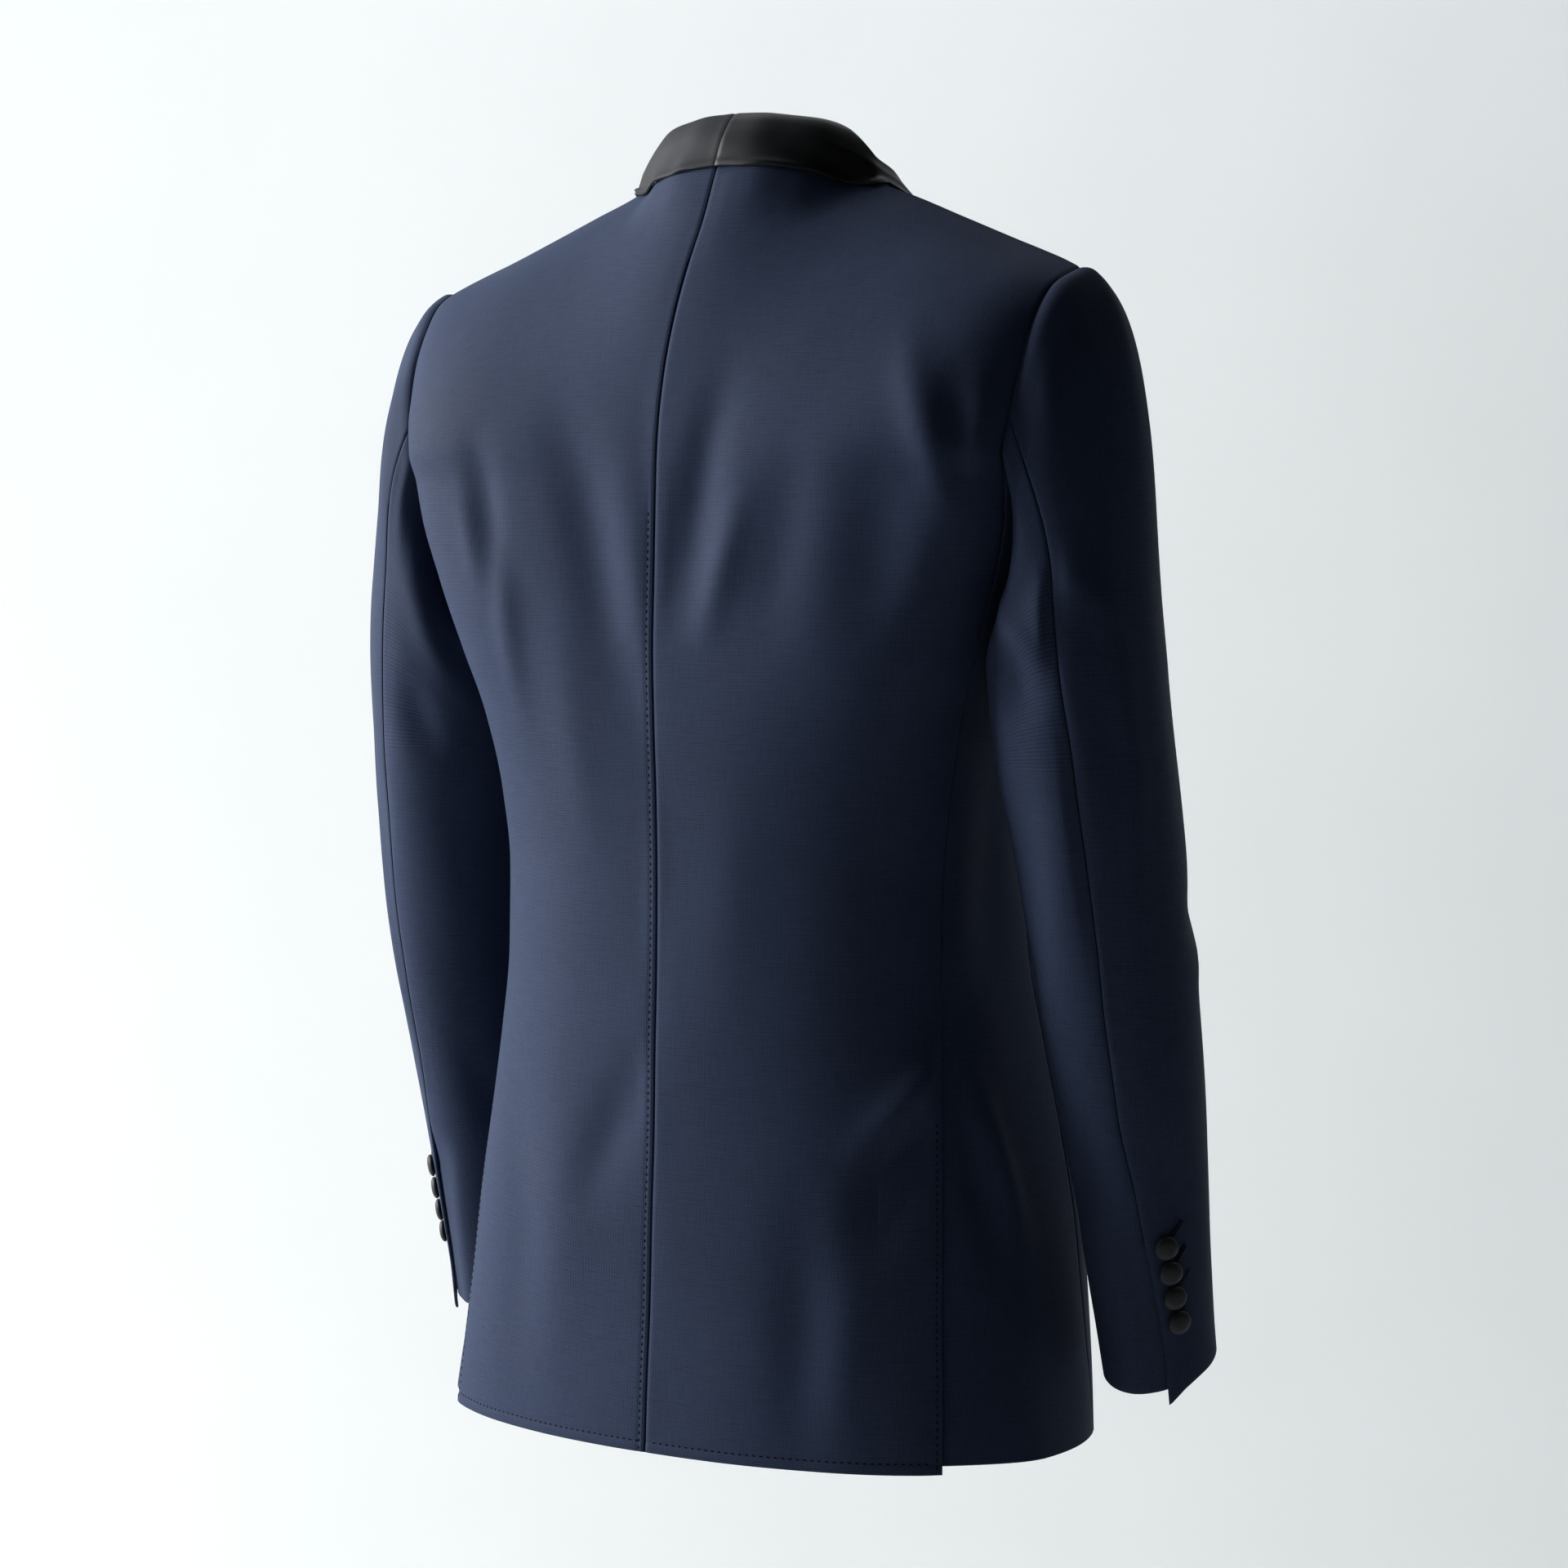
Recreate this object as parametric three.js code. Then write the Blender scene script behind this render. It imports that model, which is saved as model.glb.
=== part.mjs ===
// Tuxedo jacket, worn shape, hollow. Millimetres, +Z up, the front faces -Y, the wearer's left is +X.
// z = 0 is the level of the neck where the jacket sits on the wearer's shoulders.
// Every cut piece is a wall of cloth laid on one master surface; pieces that are sewn share the points of
// their seam, mitred there and drawn back by half the seam gap each.
import * as THREE from "three";

// ---- driving dimensions ----
const WOOL = 2.0; // wall of the body and sleeve cloth
const SATIN = 1.6; // wall of the collar
const SEAM = 0.3; // gap along each seam
const LAY = 3.1; // outer face of a piece that lies on a panel, over that panel's outer face
const LAP = 3.3; // left front over right front at the closure
const CHEST = -190; // level of the seam ends at the back and front of the armhole
const HEM = -755; // hem of the body
const SCYE = 62; // depth of the underarm curve below CHEST
const VENT_TOP = -505; // top of each side vent
const VENT_UNDER = 34; // underlap of the side panel behind the back
const VENT_STEP = 2.7; // how far that underlap sits in
const CUFF_VENT = -618; // top of the sleeve vent
const CUFF_UNDER = 12; // underlap of the undersleeve at that vent
const CUFF = -706; // middle of the cuff edge
const CUFF_SLOPE = 0.36; // the cuff edge falls towards its back
const BUTTON_Z = -420; // front button
const FRONT_BUTTON = 21; // its diameter
const CUFF_BUTTON = 14.3; // diameter of a sleeve button
const CUFF_PITCH = 14.8; // spacing of the sleeve buttons
const CUFF_COUNT = 4;
const CUFF_FIRST = -667; // level of the lowest one, before the slope of the cuff
const CUFF_POINT = 9; // how far the back corner of the topsleeve hangs below the cuff edge

// ---- short tables ----
const table = (cols, rows) => {
  const t = {};
  cols.forEach((c, j) => (t[c] = rows.map((r) => r[j])));
  return t;
};
// Monotone cubic through (x[i], y[i]); x may rise or fall.
function curve(xs, ys) {
  const up = xs[xs.length - 1] > xs[0];
  const x = up ? xs : [...xs].reverse(),
    y = up ? ys : [...ys].reverse(),
    n = x.length,
    d = [],
    m = [];
  for (let i = 0; i < n - 1; i++) d.push((y[i + 1] - y[i]) / (x[i + 1] - x[i]));
  for (let i = 0; i < n; i++) {
    if (i === 0) m.push(d[0]);
    else if (i === n - 1) m.push(d[n - 2]);
    else if (d[i - 1] * d[i] <= 0) m.push(0);
    else {
      const h0 = x[i] - x[i - 1],
        h1 = x[i + 1] - x[i],
        w1 = 2 * h1 + h0,
        w2 = h1 + 2 * h0;
      m.push((w1 + w2) / (w1 / d[i - 1] + w2 / d[i]));
    }
  }
  return (v) => {
    if (v <= x[0]) return y[0];
    if (v >= x[n - 1]) return y[n - 1];
    let i = 0;
    while (v > x[i + 1]) i++;
    const h = x[i + 1] - x[i],
      t = (v - x[i]) / h,
      t2 = t * t,
      t3 = t2 * t;
    return (2 * t3 - 3 * t2 + 1) * y[i] + (t3 - 2 * t2 + t) * h * m[i] + (3 * t2 - 2 * t3) * y[i + 1] + (t3 - t2) * h * m[i + 1];
  };
}
const curves = (t, key) => Object.fromEntries(Object.keys(t).map((k) => [k, curve(t[key], t[k])]));

// Horizontal sections of the body: half width, depth of back and front, squareness of back and front.
const BODY = curves(
  table(["z", "half", "back", "front", "nb", "nf"], [
    [-180, 211.5, 101.9, 119, 4.4, 2.7],
    [-215, 202.5, 103.2, 122, 4.4, 2.7],
    [-250, 189.0, 104.3, 125, 4.3, 2.6],
    [-290, 175.0, 105.7, 126, 3.8, 2.5],
    [-330, 163.5, 104.7, 126, 3.2, 2.45],
    [-375, 157.5, 102.6, 125, 2.7, 2.6],
    [-420, 155.5, 101.7, 128, 2.4, 3.0],
    [-470, 157.0, 102.3, 134, 2.35, 3.55],
    [-520, 164.5, 104.1, 141, 2.25, 3.75],
    [-570, 174.4, 105.3, 145, 2.2, 3.8],
    [-620, 183.7, 107.9, 145, 2.2, 3.8],
    [-670, 191.5, 109.9, 144.5, 2.2, 3.5],
    [-720, 200.0, 113.5, 143, 2.2, 3.15],
    [-755, 206.0, 115.3, 141, 2.2, 2.85],
  ]),
  "z",
);
// Angle round the body, from the centre back, of the two side seams.
const SIDE = curves(
  table(["z", "backSeam", "frontSeam"], [
    [-190, 74.5, 107.5],
    [-255, 78.3, 109],
    [-330, 79.3, 111],
    [-420, 78.3, 113],
    [-465, 77.6, 113],
    [-505, 76.1, 113],
    [-565, 73.9, 112.5],
    [-615, 72.1, 112],
    [-665, 70.7, 111],
    [-712, 69.6, 110],
    [-755, 68.5, 110],
  ]),
  "z",
);
// Underarm curve: fraction of the way from back to front, depth as a fraction of SCYE.
const UNDERARM = table(["f", "drop"], [
  [0, 0],
  [0.17, 0.52],
  [0.34, 0.87],
  [0.5, 1],
  [0.66, 0.93],
  [0.83, 0.6],
  [1, 0],
]);
// Neck seam of the back, then the shoulder seam, by fraction of the back's width.
const TOP = table(["t", "x", "y", "z"], [
  [0, 0, 31, 5],
  [0.12, 25, 28.5, 4],
  [0.24, 50, 17, -2],
  [0.36, 76, -4, -13],
  [0.45, 94, -5, -21],
  [0.54, 115, -5, -29],
  [0.63, 137, -4.5, -38],
  [0.72, 158, -4, -46.5],
  [0.8, 178, -3, -54.5],
  [0.87, 195, -1.5, -61],
  [0.94, 210, 0, -67],
  [1, 222, 2, -72.5],
]);
// How the back leaves that line: direction, and the pull of each end of the curve down to CHEST.
const BACK_FALL = curves(
  table(["t", "dx", "dy", "dz", "top", "foot"], [
    [0, 0, 0.53, -0.85, 100, 60],
    [0.24, 0, 0.66, -0.75, 90, 66],
    [0.36, 0, 0.8, -0.6, 80, 70],
    [0.7, 0.02, 0.95, -0.3, 66, 72],
    [1, 0, 0.95, -0.3, 62, 60],
  ]),
  "t",
);
const FRONT_FALL = curves(
  table(["t", "dx", "dy", "dz", "top", "foot"], [
    [0.36, 0.12, -0.9, -0.42, 78, 70],
    [0.7, 0.02, -0.94, -0.34, 72, 66],
    [1, 0, -0.95, -0.3, 60, 50],
  ]),
  "t",
);
// Armhole edge of the back and of the front, from the shoulder tip down; the last point of each is on the CHEST ring.
const ARM_BACK = table(["x", "y", "z"], [
  [222, 2, -72.5],
  [220, 13, -76.5],
  [217.5, 25.3, -82.6],
  [215.4, 39, -97.5],
  [214, 51, -120],
  [211.9, 58, -142],
  [210, 62, -157.5],
  [206.9, 64, -175],
]);
const ARM_FRONT = table(["x", "y", "z"], [
  [222, 2, -72.5],
  [220, -13, -77],
  [216, -28, -86],
  [211, -42, -101],
  [206, -52.5, -121],
  [202, -58.5, -142],
  [199.5, -61.5, -160],
  [198, -62.5, -176],
]);
// Edge of the front: the roll line above the break, the cut-away below it. x is the wearer's own side.
const FRONT_EDGE = curve(
  [-190, -240, -290, -335, -370, -388, -402, -420, -450, -490, -530, -575, -620, -665, -705, -732, -748, -755],
  [56, 46, 33, 20, 11, 4, -9, -18, -19, -12, 0, 17, 36, 58, 82, 103, 124, 146],
);
const ROLL = table(["x", "y", "z"], [
  [76, -4, -13],
  [81, -19, -19],
  [84, -37, -31],
  [83, -57, -50],
  [80, -75, -75],
  [75, -90, -103],
  [69, -102, -133],
  [62.5, -111, -162],
]);
// Lapel width and how far its roll stands off, by level of the roll line.
const LAPEL = curves(
  table(["z", "width", "lift"], [
    [-13, 14, 11],
    [-31, 22, 8],
    [-75, 38, 5.5],
    [-133, 60, 4.5],
    [-190, 74, 3.6],
    [-255, 78, 3.2],
    [-300, 70, 2.6],
    [-340, 48, 1.8],
    [-370, 24, 0.9],
    [-386, 9, 0.2],
  ]),
  "z",
);
// Collar from the centre back to the shoulder: fold, outer edge, rounding of the fall.
const COLLAR = table(["rx", "ry", "rz", "ex", "ey", "ez", "round"], [
  [0, 13.5, 25, 0, 45.5, -7.5, 6],
  [18, 12, 24.5, 19, 42.8, -7.2, 6],
  [35, 7.5, 22.6, 37, 35, -8, 5.5],
  [51, 2, 20.2, 54.5, 26.6, -11.2, 5],
  [64, -3.5, 15.2, 72, 16.6, -18.2, 4.5],
]);
// Sections of the sleeve: middle, half width, half depth, twist of the seams.
const ARM = curves(
  table(["z", "cx", "cy", "a", "b", "twist"], [
    [-200, 216.3, 3.7, 46.3, 53.2, 0],
    [-250, 219.8, 4.2, 48.1, 55.4, 2],
    [-300, 221.5, 1.1, 50.1, 57.6, 0],
    [-350, 224.0, -4.9, 50.2, 57.8, -3],
    [-400, 228.8, -11.6, 47.9, 55.1, -2],
    [-450, 232.2, -18.7, 46.1, 53.1, -2],
    [-500, 234.7, -27.9, 44.2, 50.8, 0],
    [-550, 236.2, -38.6, 41.4, 47.6, 0],
    [-600, 236.9, -49.0, 38.4, 44.4, -7],
    [-650, 237.9, -58.5, 35.3, 41.3, -14],
    [-690, 239.0, -66.5, 32.8, 38.9, -19],
    [-740, 240.5, -76.5, 31.0, 37.0, -21],
  ]),
  "z",
);
// Columns of the sleeve from the front seam over the shoulder tip to the hind seam and under the arm:
// angle at the biceps, direction and pull with which the cloth leaves the armhole, level where the tube begins.
const HEAD = table(["th", "dx", "dy", "dz", "pull", "tube"], [
  [-128, 0.5, -0.3, -0.8, 20, -275],
  [-117, 0.55, -0.35, -0.76, 24, -268],
  [-106, 0.6, -0.38, -0.7, 27, -262],
  [-94, 0.65, -0.4, -0.65, 30, -256],
  [-80, 0.72, -0.4, -0.58, 32, -252],
  [-63, 0.8, -0.36, -0.48, 33, -250],
  [-44, 0.88, -0.25, -0.4, 32, -250],
  [-22, 0.97, -0.12, -0.16, 38, -250],
  [0, 0.98, 0, -0.12, 40, -250],
  [15, 0.97, 0.08, -0.18, 38, -250],
  [29, 0.94, 0.16, -0.3, 36, -250],
  [42, 0.82, 0.25, -0.52, 33, -250],
  [53, 0.7, 0.3, -0.65, 36, -250],
  [61, 0.56, 0.28, -0.78, 38, -250],
  [70, 0.42, 0.22, -0.88, 36, -250],
  [84, 0.4, 0.12, -0.9, 30, -255],
  [100, 0.42, 0.02, -0.9, 22, -266],
  [119, 0.5, -0.04, -0.86, 16, -282],
  [139, 0.55, 0, -0.83, 13, -296],
  [160, 0.6, 0, -0.8, 11, -304],
  [183, 0.6, 0, -0.8, 11, -304],
  [208, 0.55, 0, -0.83, 14, -292],
  [232, 0.5, -0.3, -0.8, 20, -275],
]);
const HIND = 14; // column of the hind seam
const HEAD_ROWS = [0, 0.1, 0.24, 0.4, 0.58, 0.78, 1];
const UPPER_ROWS = [0, 0.12, 0.25, 0.38, 0.51, 0.64, 0.76, 0.88, 1];
const BODY_Z = [-190, -222, -255, -290, -330, -360, -386, -420, -465, VENT_TOP, -517, -565, -615, -665, -712, -740, HEM];
const SLEEVE_Z = [-320, -355, -400, -450, -500, -545, -588, CUFF_VENT, -630, -660, -692, CUFF];

// ---- small vector kit ----
const add = (a, b, k = 1) => [a[0] + b[0] * k, a[1] + b[1] * k, a[2] + b[2] * k];
const sub = (a, b) => [a[0] - b[0], a[1] - b[1], a[2] - b[2]];
const len = (a) => Math.hypot(a[0], a[1], a[2]);
const unit = (a) => {
  const l = len(a) || 1;
  return [a[0] / l, a[1] / l, a[2] / l];
};
const cross = (a, b) => [a[1] * b[2] - a[2] * b[1], a[2] * b[0] - a[0] * b[2], a[0] * b[1] - a[1] * b[0]];
const dot = (a, b) => a[0] * b[0] + a[1] * b[1] + a[2] * b[2];
const mix = (a, b, t) => [a[0] + (b[0] - a[0]) * t, a[1] + (b[1] - a[1]) * t, a[2] + (b[2] - a[2]) * t];
const bezier = (p0, p1, p2, p3, s) => {
  const r = 1 - s;
  return [0, 1, 2].map((k) => r * r * r * p0[k] + 3 * r * r * s * p1[k] + 3 * r * s * s * p2[k] + s * s * s * p3[k]);
};
const soft = (a, b, v) => {
  const t = Math.min(1, Math.max(0, (v - a) / (b - a)));
  return t * t * (3 - 2 * t);
};
const rad = Math.PI / 180;
const at = (t, i) => [t.x[i], t.y[i], t.z[i]];

// ---- master surface of the body ----
// Point of the body ring at level z, phi degrees from the centre back, moved out by off.
function ring(phi, z, off = 0) {
  const c = Math.cos(phi * rad),
    s = Math.sin(phi * rad),
    n = c > 0 ? BODY.nb(z) : BODY.nf(z),
    B = c > 0 ? BODY.back(z) : BODY.front(z),
    A = BODY.half(z),
    r = Math.pow(Math.pow(Math.abs(c) / B, n) + Math.pow(Math.abs(s) / A, n), -1 / n),
    p = [r * s, r * c, z];
  if (!off) return p;
  const g = [(Math.sign(p[0]) * Math.pow(Math.abs(p[0]) / A, n - 1)) / A, (Math.sign(p[1]) * Math.pow(Math.abs(p[1]) / B, n - 1)) / B, 0];
  return add(p, unit(g), off);
}
// Half width of the body at depth y and level z.
const bodyX = (y, z) => {
  const n = y > 0 ? BODY.nb(z) : BODY.nf(z),
    B = y > 0 ? BODY.back(z) : BODY.front(z),
    q = 1 - Math.pow(Math.min(1, Math.abs(y) / B), n);
  return BODY.half(z) * Math.pow(q, 1 / n);
};
const topX = curve(TOP.t, TOP.x),
  topY = curve(TOP.t, TOP.y),
  topZ = curve(TOP.t, TOP.z);
// From the neck and shoulder line down to the CHEST ring.
function fall(side, t, s, foot) {
  const T = [topX(t), topY(t), topZ(t)],
    F = side > 0 ? BACK_FALL : FRONT_FALL,
    d = unit([F.dx(t), F.dy(t), F.dz(t)]),
    phi = foot,
    B = ring(phi, CHEST),
    up = unit(sub(ring(phi, CHEST), ring(phi, CHEST - 8)));
  return bezier(T, add(T, d, F.top(t)), add(B, up, F.foot(t)), B, s);
}

const T_COLS = TOP.t; // columns of the back
const HPS = 3; // column of the neck point
const backSeam = SIDE.backSeam(CHEST),
  frontSeam = SIDE.frontSeam(CHEST);
const armBack = [...ARM_BACK.x.map((_, i) => at(ARM_BACK, i)), ring(backSeam, CHEST)];
const armFront = [...ARM_FRONT.x.map((_, i) => at(ARM_FRONT, i)), ring(frontSeam, CHEST)];
const edgePhi = (x, z) => {
  const y = -BODY.front(z) * Math.pow(1 - Math.pow(Math.abs(x) / BODY.half(z), BODY.nf(z)), 1 / BODY.nf(z));
  return Math.atan2(x, y) / rad;
};
const roll = [...ROLL.x.map((_, i) => at(ROLL, i)), ring(edgePhi(FRONT_EDGE(CHEST), CHEST), CHEST)];

// Back: from the centre seam to the armhole and the side seam.
function backGrid() {
  const g = UPPER_ROWS.map((s, i) =>
    T_COLS.map((t) => {
      const p = fall(1, t, s, backSeam * t),
        e = sub(armBack[i], fall(1, 1, s, backSeam));
      return add(p, e, Math.pow(t, 3));
    }),
  );
  for (const z of BODY_Z.slice(1)) g.push(T_COLS.map((t) => ring(SIDE.backSeam(z) * t, z)));
  return g;
}
// Front: from the armhole and side seam to the roll line and the front edge.
const U_COLS = T_COLS.slice(HPS).reverse(); // 1 at the armhole, 0.36 at the neck point
const uOf = (t) => (1 - t) / (1 - T_COLS[HPS]);
const lapOver = (p, left) => (left ? LAP * soft(46, 22, p[0]) * soft(-345, -385, p[2]) * (1 - soft(-545, -600, p[2])) : 0);
function frontGrid(left, extra = 0) {
  const g = UPPER_ROWS.map((s, i) =>
    U_COLS.map((t) => {
      const u = uOf(t),
        phiEnd = edgePhi(FRONT_EDGE(CHEST), CHEST),
        foot = frontSeam + (phiEnd - frontSeam) * u,
        p = fall(-1, t, s, foot),
        ea = sub(armFront[i], fall(-1, 1, s, frontSeam)),
        er = sub(roll[i], fall(-1, T_COLS[HPS], s, phiEnd));
      return add(add(p, ea, Math.pow(1 - u, 3)), er, Math.pow(u, 2));
    }),
  );
  for (const z of BODY_Z.slice(1))
    g.push(
      U_COLS.map((t) => {
        let phi = SIDE.frontSeam(z),
          end = edgePhi(FRONT_EDGE(z), z);
        if (end < 0) end += 360;
        phi += (end - phi) * uOf(t);
        const p = ring(phi, z);
        return ring(phi, z, lapOver(p, left) + extra);
      }),
    );
  return g;
}
// Side panel: underarm curve, both side seams, and the underlap of the vent.
const SIDE_COLS = UNDERARM.f.length - 1;
function sideGrid() {
  return BODY_Z.map((z, j) => {
    const a = SIDE.backSeam(z),
      b = SIDE.frontSeam(z),
      below = soft(-465, VENT_TOP, z) * VENT_STEP,
      under = z < VENT_TOP - 1 ? (VENT_UNDER / BODY.half(z)) * 1.12 : 0;
    return UNDERARM.f.map((f, k) => {
      const dip = -SCYE * UNDERARM.drop[k] * (1 - soft(CHEST, CHEST - 175, z)),
        zz = z + dip,
        a0 = SIDE.backSeam(zz),
        b0 = SIDE.frontSeam(zz);
      let phi = (k === 0 ? a : k === SIDE_COLS ? b : a0 + (b0 - a0) * f);
      let off = 0;
      if (k === 0) (phi -= under / rad), (off = -below);
      if (k === 1) (phi -= soft(-465, VENT_TOP, z) * (b - a) * 0.1), (off = -below);
      if (k === 2) off = -below * 0.35;
      return ring(phi, zz, off);
    });
  });
}

// ---- sleeve ----
const side0 = sideGrid()[0];
// Closed armhole, in the order of HEAD's rows.
const armhole = [...[...armFront].reverse(), ...armBack.slice(1), ...side0.slice(1, -1)];
armhole.push(armhole[0]);
function tube(th, z, tilt) {
  const bow = (zz) => ARM.b(zz) * Math.sin((th + ARM.twist(zz)) * rad);
  const zz = z - tilt * bow(z),
    w = (th + ARM.twist(zz)) * rad;
  let x = ARM.cx(zz) + ARM.a(zz) * Math.cos(w);
  const y = ARM.cy(zz) + ARM.b(zz) * Math.sin(w);
  const clear = bodyX(y, zz) + 3.2;
  if (Math.cos(w) < 0.4 && x < clear) x = clear;
  return [x, y, zz];
}
function sleeveGrid(k0, k1, under) {
  const g = HEAD_ROWS.map((s) => {
    const row = [];
    for (let k = k0; k <= k1; k++) {
      const P = armhole[k],
        Q = tube(HEAD.th[k], HEAD.tube[k], 0),
        R = tube(HEAD.th[k], HEAD.tube[k] - 10, 0),
        d = unit([HEAD.dx[k], HEAD.dy[k], HEAD.dz[k]]),
        up = unit(sub(Q, R)),
        span = len(sub(P, Q));
      const p = bezier(P, add(P, d, HEAD.pull[k]), add(Q, up, 0.36 * span), Q, s);
      const near = 3.2 * Math.min(1, (s * span) / 12);
      if (p[2] < -195 && Math.abs(p[1]) < 66 && k > HIND + 1) p[0] = Math.max(p[0], bodyX(p[1], p[2]) + near);
      row.push(p);
    }
    return row;
  });
  for (const z of SLEEVE_Z) {
    const row = [];
    for (let k = k0; k <= k1; k++) {
      const tilt = CUFF_SLOPE * soft(-480, CUFF, z),
        start = Math.min(z, HEAD.tube[k] - (HEAD.tube[k] - -355) * 0.45 * (z > -354 ? 1 : 0));
      let th = HEAD.th[k],
        p = tube(th, z > -354 ? start : z, tilt);
      if (under) {
        const step = soft(-588, CUFF_VENT, z) * (VENT_STEP + 0.1);
        const lap = z < CUFF_VENT - 1 ? (CUFF_UNDER / ARM.b(z)) / rad : 0;
        if (k === k0) p = tube(th - lap, z, tilt);
        if (k <= k0 + 1) {
          const c = [ARM.cx(p[2]), ARM.cy(p[2]), p[2]];
          p = add(p, unit(sub(c, p)), step);
        } else if (k === k0 + 2) {
          const c = [ARM.cx(p[2]), ARM.cy(p[2]), p[2]];
          p = add(p, unit(sub(c, p)), step * 0.3);
        }
      }
      if (z === CUFF && !under && k > HIND - 4 && k <= HIND) p[2] -= CUFF_POINT * Math.pow((k - HIND + 4) / 4, 1.6);
      row.push(p);
    }
    g.push(row);
  }
  return g;
}

// ---- collar ----
// Rows from the centre back to the break; fold at column 0, outer edge at the last column.
const W_COLS = [0, 0.07, 0.2, 0.4, 0.6, 0.8, 1];
function alongRow(row, dist) {
  // from the last point of a panel's row, dist back along it
  let i = row.length - 1,
    left = dist;
  while (i > 0) {
    const l = len(sub(row[i - 1], row[i]));
    if (left <= l) return mix(row[i], row[i - 1], left / l);
    left -= l;
    i--;
  }
  return row[0];
}
function collarGrids(left) {
  const base = frontGrid(left),
    nrm = normalsOf(base, trunk),
    fallRows = [],
    standRows = [],
    neck = [];
  for (let q = 0; q < COLLAR.rx.length; q++) {
    const R = [COLLAR.rx[q], COLLAR.ry[q], COLLAR.rz[q]],
      E = [COLLAR.ex[q], COLLAR.ey[q], COLLAR.ez[q]],
      c = unit(sub(E, R)),
      along = q === 0 ? [1, 0, 0] : unit([COLLAR.rx[q] - COLLAR.rx[q - 1], COLLAR.ry[q] - COLLAR.ry[q - 1], COLLAR.rz[q] - COLLAR.rz[q - 1]]);
    let n = unit(cross(c, along));
    if (n[2] < 0) n = n.map((v) => -v);
    fallRows.push(W_COLS.map((w) => add(mix(R, E, w), n, COLLAR.round[q] * 1.25 * (1 - w) * (1 - Math.exp(-w / 0.12)))));
    const t = (q / (COLLAR.rx.length - 1 + 1)) * T_COLS[HPS];
    neck.push([topX(t), topY(t), topZ(t)]);
    standRows.push(R);
  }
  for (let i = 0; i < base.length; i++) {
    const row = base[i],
      z = row[row.length - 1][2];
    if (z < -387) break;
    const width = LAPEL.width(z),
      lift = LAPEL.lift(z),
      nr = nrm[i];
    const P = W_COLS.map((w) => {
      const d = width * w,
        p = alongRow(row, d),
        n = unit(normalAt(row, nr, d));
      const loft = LAY + lift * Math.pow(1 - w, 2.2) + 1.2 * Math.sin(Math.PI * w);
      return add(p, n, loft);
    });
    fallRows.push(P);
    if (i <= 3) {
      neck.push(row[row.length - 1]);
      standRows.push(P[0]);
    }
  }
  const stand = standRows.map((R, i) => {
    const N = neck[i],
      u = unit(sub(N, R)),
      h = len(sub(N, R));
    const top = add(R, u, Math.min(4.7, h * 0.4)),
      foot = add(N, u, -0.8);
    return [0, 0.5, 1].map((s) => mix(top, foot, s));
  });
  return { fall: fallRows, stand };
}
function normalAt(row, nr, dist) {
  let i = row.length - 1,
    left = dist;
  while (i > 0) {
    const l = len(sub(row[i - 1], row[i]));
    if (left <= l) return mix(nr[i], nr[i - 1], left / l);
    left -= l;
    i--;
  }
  return nr[0];
}

// ---- walls ----
const trunk = (p) => [0, 0, p[2] - (p[2] > -190 ? 60 : 0)];
const neckCore = (p) => [p[0] * 0.5, -30, p[2] - 30];
const limb = (p) => [ARM.cx(p[2]), ARM.cy(p[2]), p[2] - (p[2] > -190 ? 40 : 0)];
function normalsOf(g, core) {
  const R = g.length,
    C = g[0].length,
    n = g.map((r) => r.map(() => [0, 0, 0]));
  for (let i = 0; i < R - 1; i++)
    for (let j = 0; j < C - 1; j++) {
      const a = g[i][j],
        b = g[i + 1][j],
        c = g[i + 1][j + 1],
        d = g[i][j + 1],
        f = unit(cross(sub(c, a), sub(d, b)));
      for (const [p, q] of [[i, j], [i + 1, j], [i + 1, j + 1], [i, j + 1]]) n[p][q] = add(n[p][q], f);
    }
  for (const r of n) for (let j = 0; j < r.length; j++) r[j] = unit(r[j]);
  // turned to face away from the core of the form
  let sum = 0;
  g.forEach((r, i) => r.forEach((p, j) => (sum += dot(n[i][j], sub(p, core(p))))));
  if (sum < 0) for (const r of n) for (let j = 0; j < r.length; j++) r[j] = r[j].map((v) => -v);
  return n;
}
const sheets = [];
function sheet(name, grid, wall, mat, core, flip = false) {
  const normals = normalsOf(grid, core);
  for (const [i, r] of normals.entries())
    for (let j = 0; j < r.length; j++) {
      if (flip) r[j] = r[j].map((v) => -v);
      if (Math.abs(grid[i][j][0]) < 0.01) r[j] = unit([0, r[j][1], r[j][2]]);
    }
  sheets.push({ name, grid, normals, wall, mat });
}
// Sewn pieces share their seam points: give such points one mitred normal.
function mitre() {
  const all = new Map(),
    key = (p) => p.map((v) => Math.round(v * 20)).join();
  for (const s of sheets)
    s.grid.forEach((r, i) =>
      r.forEach((p, j) => {
        const k = key(p);
        if (!all.has(k)) all.set(k, []);
        all.get(k).push([s, i, j]);
      }),
    );
  for (const list of all.values()) {
    if (list.length < 2) continue;
    const ns = list.map(([s, i, j]) => s.normals[i][j]);
    let n = ns.reduce((a, b) => add(a, b), [0, 0, 0]);
    n = unit(n);
    const c = ns.reduce((a, b) => a + dot(n, b), 0) / ns.length;
    const long = Math.min(1.7, 1 / Math.max(c, 0.2));
    for (const [s, i, j] of list) s.normals[i][j] = n.map((v) => v * long);
  }
}
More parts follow.
